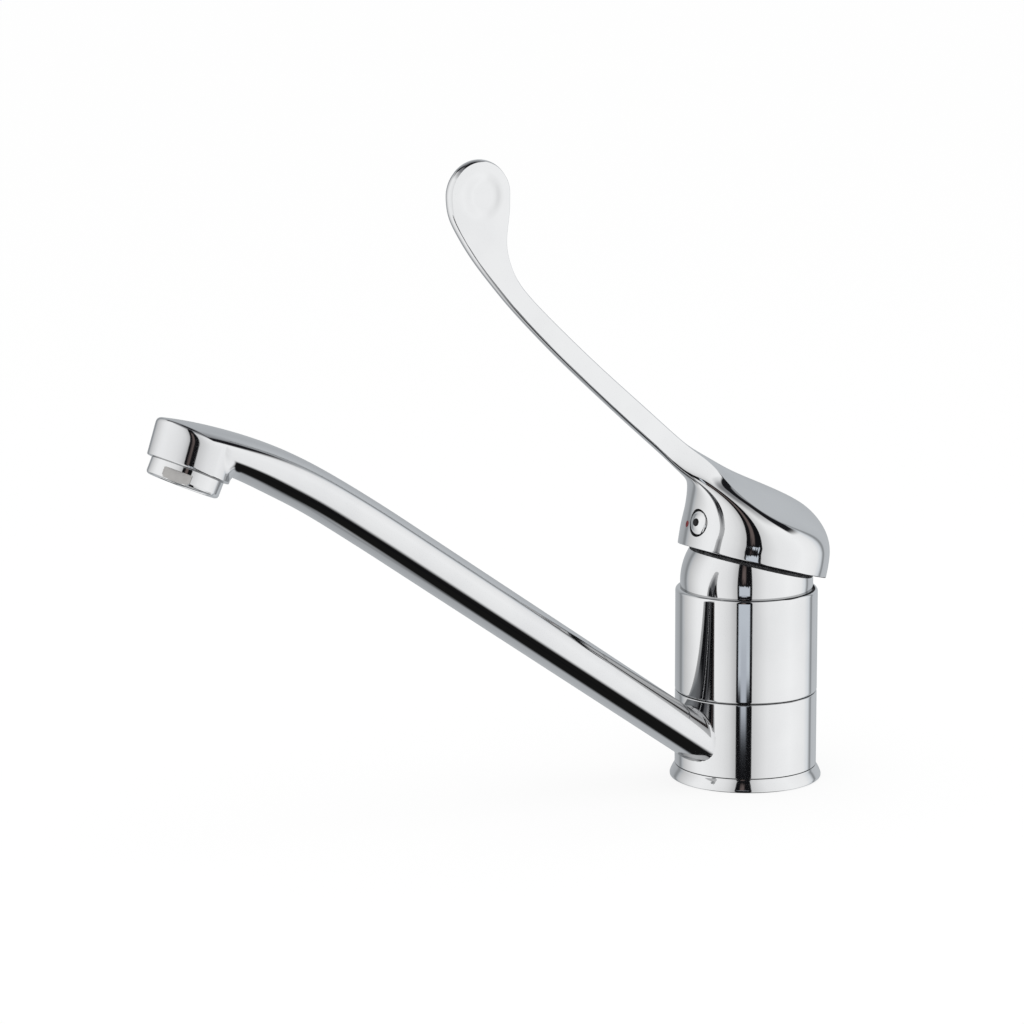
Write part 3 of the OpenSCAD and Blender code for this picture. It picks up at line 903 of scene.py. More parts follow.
@dataclass
class MixerBody:
    """Body with its spigot, the chamber for the cartridge and the bores underneath."""

    radius: float = 23.4
    bottom: float = 29.4
    top: float = 63.9
    shoulder: float = 1.2
    lower_edge: float = 0.75
    spigot: float = 17.05
    waist: float = 14.6
    waist_half: float = 4.9
    waist_middle: float = 16.9
    chamber: float = 17.6
    chamber_floor: float = 34.18
    nut_seat: float = 19.4
    nut_floor: float = 56.45
    stud: Span = (3.4, 14.0)
    hose: Span = (4.5, 12.0)
    hose_place: Span = (8.0, 4.2)
    bore_steps: int = 80

    def profile(self) -> Array:
        """Outline of the body.

        Returns:
            Its points, from the spigot's lower edge over the outside and down to the chamber.
        """
        low, high = self.waist_middle - self.waist_half, self.waist_middle + self.waist_half
        return rounded_profile(
            [
                (self.spigot, 0, 0),
                (self.spigot, low, 0.2),
                (self.waist, low, 0.2),
                (self.waist, high, 0.2),
                (self.spigot, high, 0.2),
                (self.spigot, self.bottom, 0.1),
                (self.radius, self.bottom, self.lower_edge),
                (self.radius, self.top, self.shoulder),
                (self.nut_seat, self.top, 0.2),
                (self.nut_seat, self.nut_floor, 0.1),
                (self.chamber, self.nut_floor, 0.1),
                (self.chamber, self.chamber_floor, 0.1),
                (0, self.chamber_floor, 0),
            ]
        )

    def underside(self, shape: bmesh.types.BMesh) -> None:
        """Closes the spigot's foot with a plate that has the three blind bores.

        Args:
            shape: The body's mesh, in millimetres.
        """
        outline = self.spigot - 0.01
        rim = [v for v in shape.verts if abs(v.co.z) < TINY and v.co.xy.length > outline]
        rim.sort(key=lambda v: atan2(v.co.y, v.co.x))
        pairs = zip(rim, rim[1:] + rim[:1])
        edges = [shape.edges.get(pair) or shape.edges.new(pair) for pair in pairs]
        holes = [(0.0, 0.0, *self.stud)]
        holes += [(side * self.hose_place[0], self.hose_place[1], *self.hose) for side in (-1, 1)]
        for x, y, radius, depth in holes:
            mouth, end = (
                [
                    shape.verts.new((x + radius * cos(v), y + radius * sin(v), height))
                    for v in whole_turn(self.bore_steps)
                ]
                for height in (0.0, depth)
            )
            for j in range(self.bore_steps):
                k = (j + 1) % self.bore_steps
                shape.faces.new((mouth[j], mouth[k], end[k], end[j]))
                edges.append(shape.edges.get((mouth[j], mouth[k])))
            shape.faces.new(end)
        bmesh.ops.triangle_fill(shape, use_beauty=True, use_dissolve=False, edges=edges)

    def build(self) -> None:
        """Makes the body."""
        points, faces = turned_points(braced(self.profile()), TURNED_STEPS)
        shape = bmesh.new()
        verts = [shape.verts.new(p) for p in points]
        for face in faces:
            shape.faces.new([verts[i] for i in face])
        self.underside(shape)
        bmesh.ops.recalc_face_normals(shape, faces=shape.faces)
        bmesh.ops.scale(shape, vec=(MM, MM, MM), verts=shape.verts)
        mesh = bpy.data.meshes.new("mixer_shell")
        shape.to_mesh(mesh)
        shape.free()
        smooth_shaded(mesh)
        shell = linked("mixer_shell", mesh)
        dress(shell, CHROME, Body.MIXER, "chrome_body", "body_casting")


@dataclass
class Dome:
    """Thin dome over the cartridge, a zone of a sphere about the lever's pivot."""

    radius: float = 21.85
    wall: float = 1.5
    pivot: float = 65.8
    foot: float = 63.9
    mouth: float = 14.5
    bands: int = 49

    def tree(self) -> NodeTree:
        """Geometry Nodes tree that bends a grid round the sphere and gives it a wall.

        Returns:
            The tree.
        """
        lengths = ("Radius", "Wall", "Pivot Height", "Low Angle", "High Angle")
        inputs = dict.fromkeys(lengths, "NodeSocketFloat")
        inputs |= dict.fromkeys(("Segments", "Bands"), "NodeSocketInt")
        inputs["Material"] = "NodeSocketMaterial"
        geometry = {"Geometry": "NodeSocketGeometry"}
        t = Tree.group("sphere_zone", "GeometryNodeTree", inputs, geometry)
        given = t.given()
        size = {"Size X": 1.0, "Size Y": 1.0}
        counts = {"Vertices X": given["Segments"], "Vertices Y": given["Bands"]}
        grid = t.out("GeometryNodeMeshGrid", {**size, **counts})
        place = t.parts(t.out("GeometryNodeInputPosition"))
        turn = t.product(place[0], 2 * pi)
        limits = {0: t.total(place[1], 0.5), 3: given["Low Angle"], 4: given["High Angle"]}
        rise = t.out("ShaderNodeMapRange", limits)
        across = t.product(given["Radius"], t.math("COSINE", rise))
        up = t.total(t.product(given["Radius"], t.math("SINE", rise)), given["Pivot Height"])
        x, y = (t.product(across, t.math(kind, turn)) for kind in ("COSINE", "SINE"))
        spot = t.vector({0: x, 1: y, 2: up})
        bent = t.out("GeometryNodeSetPosition", {"Geometry": grid, "Position": spot})
        welded = t.out("GeometryNodeMergeByDistance", {"Geometry": bent, "Distance": WELD})
        wall = {"Offset Scale": t.product(given["Wall"], -1.0), "Individual": False}
        lifted = t.out("GeometryNodeExtrudeMesh", {"Mesh": welded, **wall}, mode="FACES")
        both = t.node("GeometryNodeJoinGeometry")
        for side in (t.out("GeometryNodeFlipFaces", {"Mesh": lifted}), welded):
            t.tree.links.new(side, both.inputs[0])
        whole = {"Geometry": both.outputs[0], "Distance": WELD}
        t.finish_geometry(t.out("GeometryNodeMergeByDistance", whole), given["Material"])
        return t.tree

    def build(self) -> None:
        """Makes the dome."""
        shell = grown(
            "dome_shell",
            self.tree(),
            {
                "Radius": self.radius * MM,
                "Wall": self.wall * MM,
                "Pivot Height": self.pivot * MM,
                "Low Angle": asin((self.foot - self.pivot) / self.radius),
                "High Angle": acos(self.mouth / self.radius),
                "Segments": TURNED_STEPS + 1,
                "Bands": self.bands,
                "Material": CHROME.material(),
            },
        )
        face_outwards(shell)
        smooth_shaded(shell.data)
        dress(shell, CHROME, Body.MIXER, "chrome_dome", "dome_cap")


# ---- Spout ----

OUTLET = (209.3, 119.3)  # reach and height of the outlet ring's centre
OUTLET_TILT = 25.0


@dataclass
class Spout:
    """Rising oval tube with its leaning round outlet head, as one smooth cast skin.

    Attributes:
        bend: Upper and lower point from the outlet, and how far the width grows to the head's.
        stations: Centre, upward direction, half height and half width along the sweep.
    """

    width: float = 22.0
    thickness: float = 14.4
    fullness: float = 2.25
    root: Span = (23.4, 17.2)
    root_overrun: float = 0.12
    straight_end: Span = (148.0, 102.5)
    straight_rows: int = 17
    steps_between: int = 40
    lean: float = 18.5
    head_radius: float = 12.9
    ring_height: float = 5.2
    sleeve_radius: float = 22.9
    reach_grid: tuple[float, float, float] = (16.4, 184.0, 224.0)
    height_grid: tuple[float, float, float] = (6.0, 117.0, 143.5)
    side_grid: float = 14.0
    coarse: float = 0.6
    fine: float = 0.3
    outside: float = 5.0
    near_line: float = 13.0
    near_head: Span = (185.0, 112.0)
    skin_rounds: int = 3
    slope_step: float = 0.01
    least_slope: float = 0.2
    lip_edge: float = 0.5
    neck_fillet: float = 2.6
    neck_low: Span = (2.0, -5.0)
    neck_behind: Span = (-2.5, -8.5)
    least_fillet: float = 0.1
    crown_edge: float = 1.3
    crown_front: Span = (-2.0, 7.0)
    least_crown_edge: float = 0.02
    root_start: float = 23.4
    root_width: float = 1.3
    root_flare: float = 0.4
    root_low: float = -2.0
    root_fade: float = 4.0
    sink: float = 0.6
    sink_span: Span = (-6.0, 2.0)
    bend: tuple[tuple[float, float, float, float, float], ...] = (
        (-55.0, -4.3, -47.4, -16.4, 0),
        (-46.2, 1.3, -39.4, -10.9, 0.05),
        (-37.7, 5.9, -31.0, -7.0, 0.2),
        (-28.9, 10.3, -23.5, -2.1, 0.47),
        (-19.5, 13.9, -15.8, 1.2, 0.8),
        (-9.9, 17.2, -7.3, 5.5, 0.95),
        (-0.5, 19.8, 1.5, 8.3, 1),
        (8.5, 21.6, 10.3, 10.1, 1),
        (17.7, 22.4, 19.5, 10.9, 1),
        (27.0, 22.8, 28.8, 11.3, 1),
    )
    stations: Array = field(init=False)

    def __post_init__(self) -> None:
        """Works out the stations of the sweep."""
        start, end = np.array(self.root), np.array(self.straight_end)
        along = (end - start) / np.linalg.norm(end - start)
        normal = np.array([-along[1], along[0]])
        rows = []
        for share in np.linspace(-self.root_overrun, 1, self.straight_rows):
            centre = start + (end - start) * share
            half = normal * self.thickness / 2
            rows.append([*(centre + half), *(centre - half), self.width])
        reach, height = OUTLET
        for row in self.bend:
            width = self.width + (2 * self.head_radius - self.width) * row[4]
            rows.append([reach + row[0], height + row[1], reach + row[2], height + row[3], width])
        table = eased(np.array(rows), 1)
        last = len(table) - 1
        fine = spline(table, np.linspace(0, last, self.steps_between * last + 1))
        upper, lower = fine[:, 0:2], fine[:, 2:4]
        half = np.linalg.norm(upper - lower, axis=1) / 2
        up = (upper - lower) / (2 * half)[:, None]
        self.stations = np.column_stack([(upper + lower) / 2, up, half, fine[:, 4] / 2])

    def along(self, spots: Array) -> Array:
        """Station number at which each place of the upright plane lies.

        Args:
            spots: Reach and height of each place.

        Returns:
            Station numbers, with fractions.
        """
        stride, batch, rounds, farthest, share = 10, 20000, 12, 20, 0.8
        centre, up = self.stations[:, 0:2], self.stations[:, 2:4]
        ahead = np.stack([up[:, 1], -up[:, 0]], axis=1)
        guess = np.zeros(len(spots))
        for part in np.array_split(np.arange(len(spots)), max(1, len(spots) // batch)):
            gap = spots[part, None, :] - centre[None, ::stride, :]
            guess[part] = stride * np.argmin(np.einsum("ijk,ijk->ij", gap, gap), axis=1)
        last = len(self.stations) - 1
        for _ in range(rounds):
            i = np.clip(guess.astype(int), 0, last - 1)
            t = (guess - i)[:, None]
            here = centre[i] * (1 - t) + centre[i + 1] * t
            way = ahead[i] * (1 - t) + ahead[i + 1] * t
            step = np.linalg.norm(centre[i + 1] - centre[i], axis=1)
            miss = ((spots - here) * way).sum(1) / step
            guess = np.clip(guess + np.clip(miss, -farthest, farthest) * share, 0, last)
        return guess

    def head_frame(self, flat: Array) -> tuple[Array, Array]:
        """Distance of places across the outlet head's leaning axis, and above its rim.

        Args:
            flat: Reach and height of each place.

        Returns:
            The distances across, and those above the rim.
        """
        tilt, lean = radians(OUTLET_TILT), radians(self.lean)
        out = flat - np.array(OUTLET)
        lift = -out[:, 0] * sin(tilt) + out[:, 1] * cos(tilt) - self.ring_height
        slide = lift / cos(tilt - lean)
        foot = self.ring_height * np.array([-sin(tilt), cos(tilt)])
        middle = foot + slide[:, None] * np.array([-sin(lean), cos(lean)])
        return (out - middle) @ np.array([cos(tilt), sin(tilt)]), lift

    def skin(self, spots: Array, place: Array | None = None) -> Array:
        """Signed measure of the cast skin, below 0 inside, near millimetres close to it.

        Args:
            spots: Reach, height and sideways distance of each place.
            place: Station number of each place, where it is known.

        Returns:
            One value per place.
        """
        flat, side = spots[:, 0:2], np.abs(spots[:, 2])
        if place is None:
            place = self.along(flat)
        i = np.clip(place.astype(int), 0, len(self.stations) - 2)
        t = (place - i)[:, None]
        row = self.stations[i] * (1 - t) + self.stations[i + 1] * t
        rise = ((flat - row[:, 0:2]) * row[:, 2:4]).sum(1)
        power = self.fullness
        wide = (side / row[:, 5]) ** power
        tube, crown = (
            ((np.maximum(lifted / row[:, 4], 0) ** power + wide) ** (1 / power) - 1) * row[:, 4]
            for lifted in (-rise, rise)
        )
        across, lift = self.head_frame(flat)
        sunk = tube + self.sink * ramp(across, *self.sink_span)
        tube = np.maximum(sunk, across - self.sink_span[1])
        head = soft_largest(np.hypot(across, side) - self.head_radius, -lift, self.lip_edge)
        neck = ramp(rise, *self.neck_low) * ramp(across, *self.neck_behind)
        body = -soft_largest(-tube, -head, self.least_fillet + self.neck_fillet * neck)
        edge = self.least_crown_edge + self.crown_edge * ramp(across, *self.crown_front)
        body = soft_largest(body, crown, edge)
        around = np.hypot(flat[:, 0], side)
        close = np.clip(1 - (around - self.root_start) / self.root_width, 0, 1)
        above = np.clip((rise - self.root_low) / self.root_fade, 0, 1)
        return np.maximum(
            body - self.root_flare * close * close * above, self.sleeve_radius - around
        )

    def slope(self, spots: Array) -> tuple[Array, Array]:
        """Value and slope of the skin's measure.

        Args:
            spots: Reach, height and sideways distance of each place.

        Returns:
            The values, and the slopes.
        """
        slopes = np.empty_like(spots)
        for k in range(3):
            shift = np.zeros(3)
            shift[k] = self.slope_step
            rise = self.skin(spots + shift) - self.skin(spots - shift)
            slopes[:, k] = rise / (2 * self.slope_step)
        return self.skin(spots), slopes

    def grid(self) -> tuple[tuple[Array, ...], Array]:
        """Measures the skin on a grid.

        Returns:
            The grid's lines along reach, height and side, and the values on it.
        """
        scale = 1
        coarse, fine = self.coarse * scale, self.fine * scale
        reach, height = (
            np.concatenate([np.arange(low, middle, coarse), np.arange(middle, high, fine)])
            for low, middle, high in (self.reach_grid, self.height_grid)
        )
        side = np.arange(-self.side_grid, self.side_grid + coarse / 3, coarse * 2 / 3)
        r, z = np.meshgrid(reach, height, indexing="ij")
        line = np.interp(r, self.stations[:, 0], self.stations[:, 1])
        by_head = (r > self.near_head[0]) & (z > self.near_head[1])
        spots_r, spots_z = np.nonzero((np.abs(z - line) < self.near_line) | by_head)
        values = np.full((len(reach), len(height), len(side)), self.outside)
        flat = np.stack([reach[spots_r], height[spots_z]], axis=1)
        place = self.along(flat)
        batches = 40
        for part in np.array_split(np.arange(len(flat)), batches):
            columns = [np.repeat(flat[part], len(side), axis=0), np.tile(side, len(part))[:, None]]
            known = np.repeat(place[part], len(side))
            measured = self.skin(np.concatenate(columns, axis=1), known)
            values[spots_r[part], spots_z[part], :] = measured.reshape(len(part), len(side))
        return (reach, height, side), values

    def build(self) -> None:
        """Makes the spout."""
        lines, values = self.grid()
        points, faces = net(values, lines)
        for _ in range(self.skin_rounds):
            value, slopes = self.slope(points)
            size = np.maximum((slopes**2).sum(1), self.least_slope)
            points = points - (value / size)[:, None] * slopes
        _, slopes = self.slope(points)
        slopes /= np.maximum(np.linalg.norm(slopes, axis=1), TINY)[:, None]
        pipe = place_mesh("spout_pipe", upright(*points.T), faces, upright(*slopes.T))
        dress(pipe, SOFT_CHROME, Body.SPOUT, "chrome_spout", "spout_tube")


def net(values: Array, lines: Sequence[Array]) -> tuple[Array, Faces]:
    """Closed net of four-sided faces where a grid of values changes sign.

    Args:
        values: Values on the grid, below 0 inside.
        lines: Places of the grid's lines along each direction.

    Returns:
        The net's points, and its faces.

    Raises:
        ValueError: If the skin reaches the grid's outer cells.
    """
    inside = values < 0
    cells = tuple(n - 1 for n in values.shape)
    count = np.zeros(cells)
    total = np.zeros(cells + (3,))
    corners = [(i, j, k) for i in (0, 1) for j in (0, 1) for k in (0, 1)]
    for axis in range(3):
        for corner in (c for c in corners if not c[axis]):
            other = list(corner)
            other[axis] = 1
            a = tuple(slice(c, c + n) for c, n in zip(corner, cells))
            b = tuple(slice(c, c + n) for c, n in zip(other, cells))
            cross = inside[a] != inside[b]
            va, vb = values[a][cross], values[b][cross]
            spot = np.tile(np.array(corner, float), (cross.sum(), 1))
            spot[:, axis] += va / (va - vb)
            total[cross] += spot
            count[cross] += 1
    used = count > 0
    number = np.full(cells, -1)
    number[used] = np.arange(used.sum())
    spots = np.stack(np.nonzero(used), axis=1) + total[used] / count[used][:, None]
    columns = [np.interp(spots[:, k], np.arange(len(line)), line) for k, line in enumerate(lines)]
    faces = []
    for axis in range(3):
        u, v = (axis + 1) % 3, (axis + 2) % 3
        low = [slice(None)] * 3
        high = [slice(None)] * 3
        low[axis], high[axis] = slice(0, -1), slice(1, None)
        first, second = inside[tuple(low)], inside[tuple(high)]
        for leaving in (True, False):
            spots = np.stack(np.nonzero((first != second) & (first == leaving)), axis=1)
            quad = []
            for du, dv in ((0, 0), (1, 0), (1, 1), (0, 1)):
                spot = spots.copy()
                spot[:, u] -= du
                spot[:, v] -= dv
                quad.append(number[tuple(spot.T)])
            quad = np.stack(quad, axis=1)
            if len(quad) and quad.min() < 0:
                raise ValueError("the skin runs out of its grid")
            faces.append(quad if leaving else quad[:, ::-1])
    # the upright frame mirrors reach, so the order of each face is turned
    return np.stack(columns, axis=1), np.concatenate(faces)[:, ::-1].tolist()


# ---- Aerator ----


@dataclass
class Aerator:
    """Outlet ring with its spanner flats and the woven screen in its mouth."""

    radius: float = 11.3
    height: float = 5.1
    thread: float = 10.9
    skirt_top: float = 11.2
    bore: float = 9.3
    bore_middle: float = 6.0
    mouth: float = 8.5
    screen_low: float = 1.2
    screen_high: float = 1.8
    screen_play: float = 0.2
    screen_overrun: float = 1.05
    pitch: float = 0.85
    wire: float = 0.13
    wire_sides: int = 6
    wires: int = 22
    wire_steps: int = 89
    flat_high: float = 3.4
    flat_depth: float = 0.9
    flat_turn: float = -43.0
    flat_step: float = 0.12
    flat_facing: float = 0.98
    flat_play: float = 0.05
    lip: Span = (0.8, 0.22)
    segments: int = 720
    crisp: float = 25.0

    def place(self) -> Matrix:
        """Frame of the outlet: its Z axis runs up into the head."""
        tilt = Matrix.Rotation(radians(-OUTLET_TILT), 4, "X")
        return Matrix.Translation((0, -OUTLET[0], OUTLET[1])) @ tilt

    def heading(self) -> Vector:
        """Direction in which the first flat faces, in the outlet's frame."""
        turn = radians(self.flat_turn)
        return Vector((cos(turn), sin(turn), 0))

    def ring(self) -> Piece:
        """Makes the ring, and presses its two flats.

        Returns:
            The ring.
        """
        outline = rounded_profile(
            [
                (self.bore, self.bore_middle, 0),
                (self.bore, self.screen_low, 0.05),
                (self.mouth, self.screen_low, 0.1),
                (self.mouth, 0, 0.35),
                (self.radius - self.lip[0], 0, 0.25),
                (self.radius - self.lip[1], 0.3, 0.3),
                (self.radius, 0.9, 0.3),
                (self.radius, 1.2, 0),
                (self.radius, self.flat_high / 2, 0),
                (self.radius, self.flat_high - self.flat_step, 0),
                (self.radius, self.flat_high, 0),
                (self.radius, self.height, 0.25),
                (self.thread, self.height, 0.05),
                (self.thread, self.skirt_top, 0.3),
                (self.bore, self.skirt_top, 0.2),
                (self.bore, self.bore_middle, 0),
            ]
        )
        piece = turned("outlet_ring", outline, self.segments, None, self.crisp)
        limit = self.radius - self.flat_depth
        heading = self.heading()
        high = self.flat_high - self.flat_step / 2
        for vert in piece.data.vertices:
            out = vert.co.dot(heading) / MM
            if vert.co.z / MM < high and abs(out) > limit:
                vert.co -= heading * (out - copysign(limit, out)) * MM
        spot = self.place()
        piece.data.transform(Matrix.Translation(spot.translation * MM) @ spot.to_3x3().to_4x4())
        piece.data.set_sharp_from_angle(angle=radians(self.crisp))
        return piece

    def grind_flats(self, ring: Piece) -> None:
        """Gives the two flats their satin surface.

        Args:
            ring: The dressed ring.
        """
        outlet = self.place().inverted()
        heading = self.heading()

        def on_flat(polygon: bpy.types.MeshPolygon) -> bool:
            """Whether a face lies on one of the flats."""
            spot = outlet @ (polygon.center / MM)
            facing = abs((outlet.to_3x3() @ polygon.normal).dot(heading))
            reach = abs(spot.dot(heading)) - (self.radius - self.flat_depth)
            level = spot.z < self.flat_high and abs(reach) < self.flat_play
            return level and facing > self.flat_facing

        repaint(ring, SATIN_STEEL, on_flat)

    def wires_one_way(self, t: Tree, given: dict[str, Socket], way: int, sign: float) -> Socket:
        """Waved wires along one direction, cut to the screen's round outline.

        Args:
            t: The screen's tree.
            given: Its inputs.
            way: Number of the direction, 0 for X and 1 for Y.
            sign: Side on which the first crossing lies.

        Returns:
            The wires' geometry.
        """
        half = t.product(given["Radius"], self.screen_overrun)
        ends = [t.vector({way: end}) for end in (t.product(half, -1.0), half)]
        wire = t.out("GeometryNodeCurvePrimitiveLine", dict(enumerate(ends)))
        fine = t.out("GeometryNodeResampleCurve", {"Curve": wire, "Count": given["Steps"]})
        gaps = t.math("SUBTRACT", given["Wires"], 1.0)
        start = t.vector({1 - way: t.product(gaps, given["Pitch"], -0.5)})
        stride = t.vector({1 - way: given["Pitch"]})
        row = {"Count": given["Wires"], "Start Location": start, "Offset": stride}
        spots = {"Points": t.out("GeometryNodeMeshLine", row), "Instance": fine}
        copies = t.out("GeometryNodeInstanceOnPoints", spots)
        real = t.out("GeometryNodeRealizeInstances", {0: copies})
        spot = t.parts(t.out("GeometryNodeInputPosition"))[:2]
        turns = [t.math("DIVIDE", t.product(part, pi), given["Pitch"]) for part in spot]
        crossing = t.product(*(t.math("COSINE", turn) for turn in turns))
        wave = t.product(crossing, t.product(given["Wire Radius"], sign))
        shift = {"Geometry": real, "Offset": t.vector({2: wave})}
        waved = t.out("GeometryNodeSetPosition", shift)
        square = t.total(*(t.product(part, part) for part in spot))
        far = t.math("GREATER_THAN", t.math("SQRT", square), given["Radius"])
        beyond = {"Geometry": waved, "Selection": far}
        cut = t.out("GeometryNodeDeleteGeometry", beyond, domain="POINT")
        circle = {"Resolution": self.wire_sides, "Radius": given["Wire Radius"]}
        ring = t.out("GeometryNodeCurvePrimitiveCircle", circle)
        tube = {"Curve": cut, "Profile Curve": ring, "Fill Caps": True}
        return t.out("GeometryNodeCurveToMesh", tube)

    def screen_tree(self) -> NodeTree:
        """Geometry Nodes tree that weaves the screen's wires within a round outline.

        Returns:
            The tree.
        """
        inputs = dict.fromkeys(("Radius", "Pitch", "Wire Radius"), "NodeSocketFloat")
        inputs |= dict.fromkeys(("Wires", "Steps"), "NodeSocketInt")
        inputs |= dict.fromkeys(("Place", "Tilt"), "NodeSocketVector")
        inputs["Material"] = "NodeSocketMaterial"
        geometry = {"Geometry": "NodeSocketGeometry"}
        t = Tree.group("woven_screen", "GeometryNodeTree", inputs, geometry)
        given = t.given()
        both = t.node("GeometryNodeJoinGeometry")
        for way, sign in ((0, 1.0), (1, -1.0)):
            t.tree.links.new(self.wires_one_way(t, given, way, sign), both.inputs[0])
        smooth = t.out("GeometryNodeSetShadeSmooth", {"Geometry": both.outputs[0]})
        spot = {"Geometry": smooth, "Translation": given["Place"], "Rotation": given["Tilt"]}
        t.finish_geometry(t.out("GeometryNodeTransform", spot), given["Material"])
        return t.tree

    def build(self) -> None:
        """Makes the ring and the screen, and dresses the insert and the gasket."""
        ring = self.ring()
        dress(ring, CHROME, Body.SPOUT, "chrome_aerator", "aerator_housing")
        self.grind_flats(ring)
        middle = self.place() @ Vector((0, 0, (self.screen_low + self.screen_high) / 2))
        screen = grown(
            "outlet_screen",
            self.screen_tree(),
            {
                "Radius": (self.bore - self.screen_play) * MM,
                "Pitch": self.pitch * MM,
                "Wire Radius": self.wire * MM,
                "Wires": self.wires,
                "Steps": self.wire_steps,
                "Place": tuple(middle * MM),
                "Tilt": (radians(-OUTLET_TILT), 0.0, 0.0),
                "Material": SCREEN_STEEL.material(),
            },
        )
        dress(screen, SCREEN_STEEL, Body.SPOUT, "mesh_steel", "aerator_mesh")
        dress_nodes(INSERT_PLASTIC, "aerator_insert")
        dress_nodes(RUBBER, "aerator_gasket")


# ---- Lever ----


@dataclass
class Lever:
    """Long clinic lever: a hollow hub that runs out into a slim blade with a round pad.

    A full row of a section holds its front point and rear point, the front's rounding, the
    crease's depth, the half width before the crease and at it, the rear's fullness, how far the
    section is a blade, and its distance from the blade's outline per step and square step.

    Attributes:
        hub: The first nine values of each section of the hub, from the rim up.
        arm: Front and rear point of each section of the blade.
        climb: Angles of the pad's last sections up its round outline.
    """

    pivot: float = 65.8
    half_swing: float = 12.5
    hollow: float = 23.0
    sphere_rows: int = 26
    inner_edge: float = 0.3
    blade: float = 3.8
    blade_round: float = 0.6
    pad_radius: float = 11.25
    top: float = 210.0
    widest: float = 25.22
    pad_reach: float = 104.4
    dimple_radius: float = 8.2
    dimple_depth: float = 0.8
    dimple_wall: float = 0.4
    dimple_soft: float = 1.3
    dimple_soft_from: float = -0.3
    crease_edge: float = 0.24
    crease_share: float = 0.3
    nose_turn: float = 38.0
    nose_points: int = 14
    lip_edge: float = 0.4
    rim_top: float = 82.0
    boss_radius: float = 8.0
    boss_start: float = 13.5
    button_radius: float = 4.3
    button_s: float = 16.7
    button_t: float = 22.4
    crown_radius: float = 3.2
    seat_gap: float = 0.28
    seat_shift: float = 0.1
    # heights in the button's seat that take the painted shade
    seat_shade: Span = (-0.1, 1.6)
    hole_radius: float = 1.3
    mark_radius: float = 1.1
    mark_x: float = 6.1
    mark_s: float = 15.4
    mark_t: float = 22.3
    mark_turn: float = 15.5
    section_points: int = 240
    front_points: int = 34
    corner_points: int = 5
    rear_points: int = 22
    rows_between: int = 10
    hub: tuple[tuple[float, ...], ...] = (
        (22.0, 79.3, -26.0, 65.3, 25.0, 25.0, 25.0, 25.0, 2),
        (21.0, 83.8, -27.36, 74.5, 24.4, 25.2, 25.2, 25.2, 2),
        (20.0, 87.8, -26.9, 82.4, 20.5, 22.3, 23.2, 23.0, 1.6),
        (19.6, 91.8, -22.2, 89.0, 14.2, 14.8, 18.6, 18.4, 1.15),
        (20.2, 95.6, -12.7, 94.5, 9.8, 10.6, 14.0, 13.8, 0.95),
        (21.6, 98.9, -2.6, 99.1, 7.4, 9.4, 9.8, 9.5, 0.85),
        (23.5, 101.4, 7.5, 103.7, 6.0, 9.2, 6.3, 6.1, 0.8),
        (26.3, 103.9, 16.5, 108.7, 4.2, 8.8, 3.8, 3.7, 0.8),
        (30.6, 107.6, 24.1, 113.2, 2.8, 7.8, 2.4, 2.35, 0.85),
    )
    arm: tuple[tuple[float, float, float, float], ...] = (
        (36.9, 113.1, 31.8, 119.2),
        (48.7, 123.0, 43.5, 129.0),
        (62.6, 135.0, 57.5, 140.7),
        (76.4, 147.3, 71.3, 152.8),
        (89.9, 160.3, 84.7, 165.3),
        (98.0, 169.0, 91.7, 174.1),
        (105.6, 178.0, 94.3, 181.9),
        (111.1, 185.9, 94.1, 188.5),
        (114.5, 192.2, 93.4, 193.6),
    )
    pad_knots: tuple[float, ...] = (-8, 10, 28, 45)
    climb: tuple[float, ...] = (
        *range(47, 70, 2), 70.3, 72, 74, 76, 78, 80, 82, 83.7, 85.2, 86.5, 87.6, 88.5, 89.2
    )

    @property
    def pad_height(self) -> float:
        """Height of the pad's centre."""
        return self.top - self.pad_radius

    @property
    def nose_radius(self) -> float:
        """Radius of the blade's rounded nose."""
        return self.blade / 2 / sin(radians(self.nose_turn))

    @property
    def nose_depth(self) -> float:
        """Distance from the blade's outline at which it has its full thickness."""
        return self.nose_radius * (1 - cos(radians(self.nose_turn)))

    def blade_row(
        self, ends: Sequence[float], share: float = 1.0, steep: float = 1.0, curve: float = 0.0
    ) -> list[float]:
        """Full row of a blade section.

        Args:
            ends: Front and rear point of the section.
            share: Share of the blade's thickness that is left there.
            steep: Distance from the outline per step along the section, at its ends.
            curve: How much of that is lost per square step.

        Returns:
            The row in the hub's columns.
        """
        front_share, crease_share, least_steep = 0.45, 0.55, 0.2
        length = hypot(ends[0] - ends[2], ends[1] - ends[3])
        half = self.blade / 2
        front = min(half, front_share * length)
        crease = length - self.blade_round / max(steep, least_steep)
        depths = [front, max(crease, crease_share * length)]
        return [*ends, *depths, half * share, half * share, 1.0, 1.0, steep, curve]

    def pad_row(self, angle: float) -> list[float]:
        """Row of one section of the pad.

        Args:
            angle: Angle up the pad's round outline, in degrees.

        Returns:
            The row in the hub's columns.
        """
        up = self.pad_radius * sin(radians(angle))
        half = self.pad_radius * cos(radians(angle))
        left = self.pad_radius - up
        share = 1.0
        if left < self.nose_depth:
            share = sqrt(2 * self.nose_radius * left - left * left) / (self.blade / 2)
        height = self.pad_height + up
        ends = (self.pad_reach + half, height, self.pad_reach - half, height)
        return self.blade_row(ends, share, cos(radians(angle)), 0.5 / self.pad_radius)

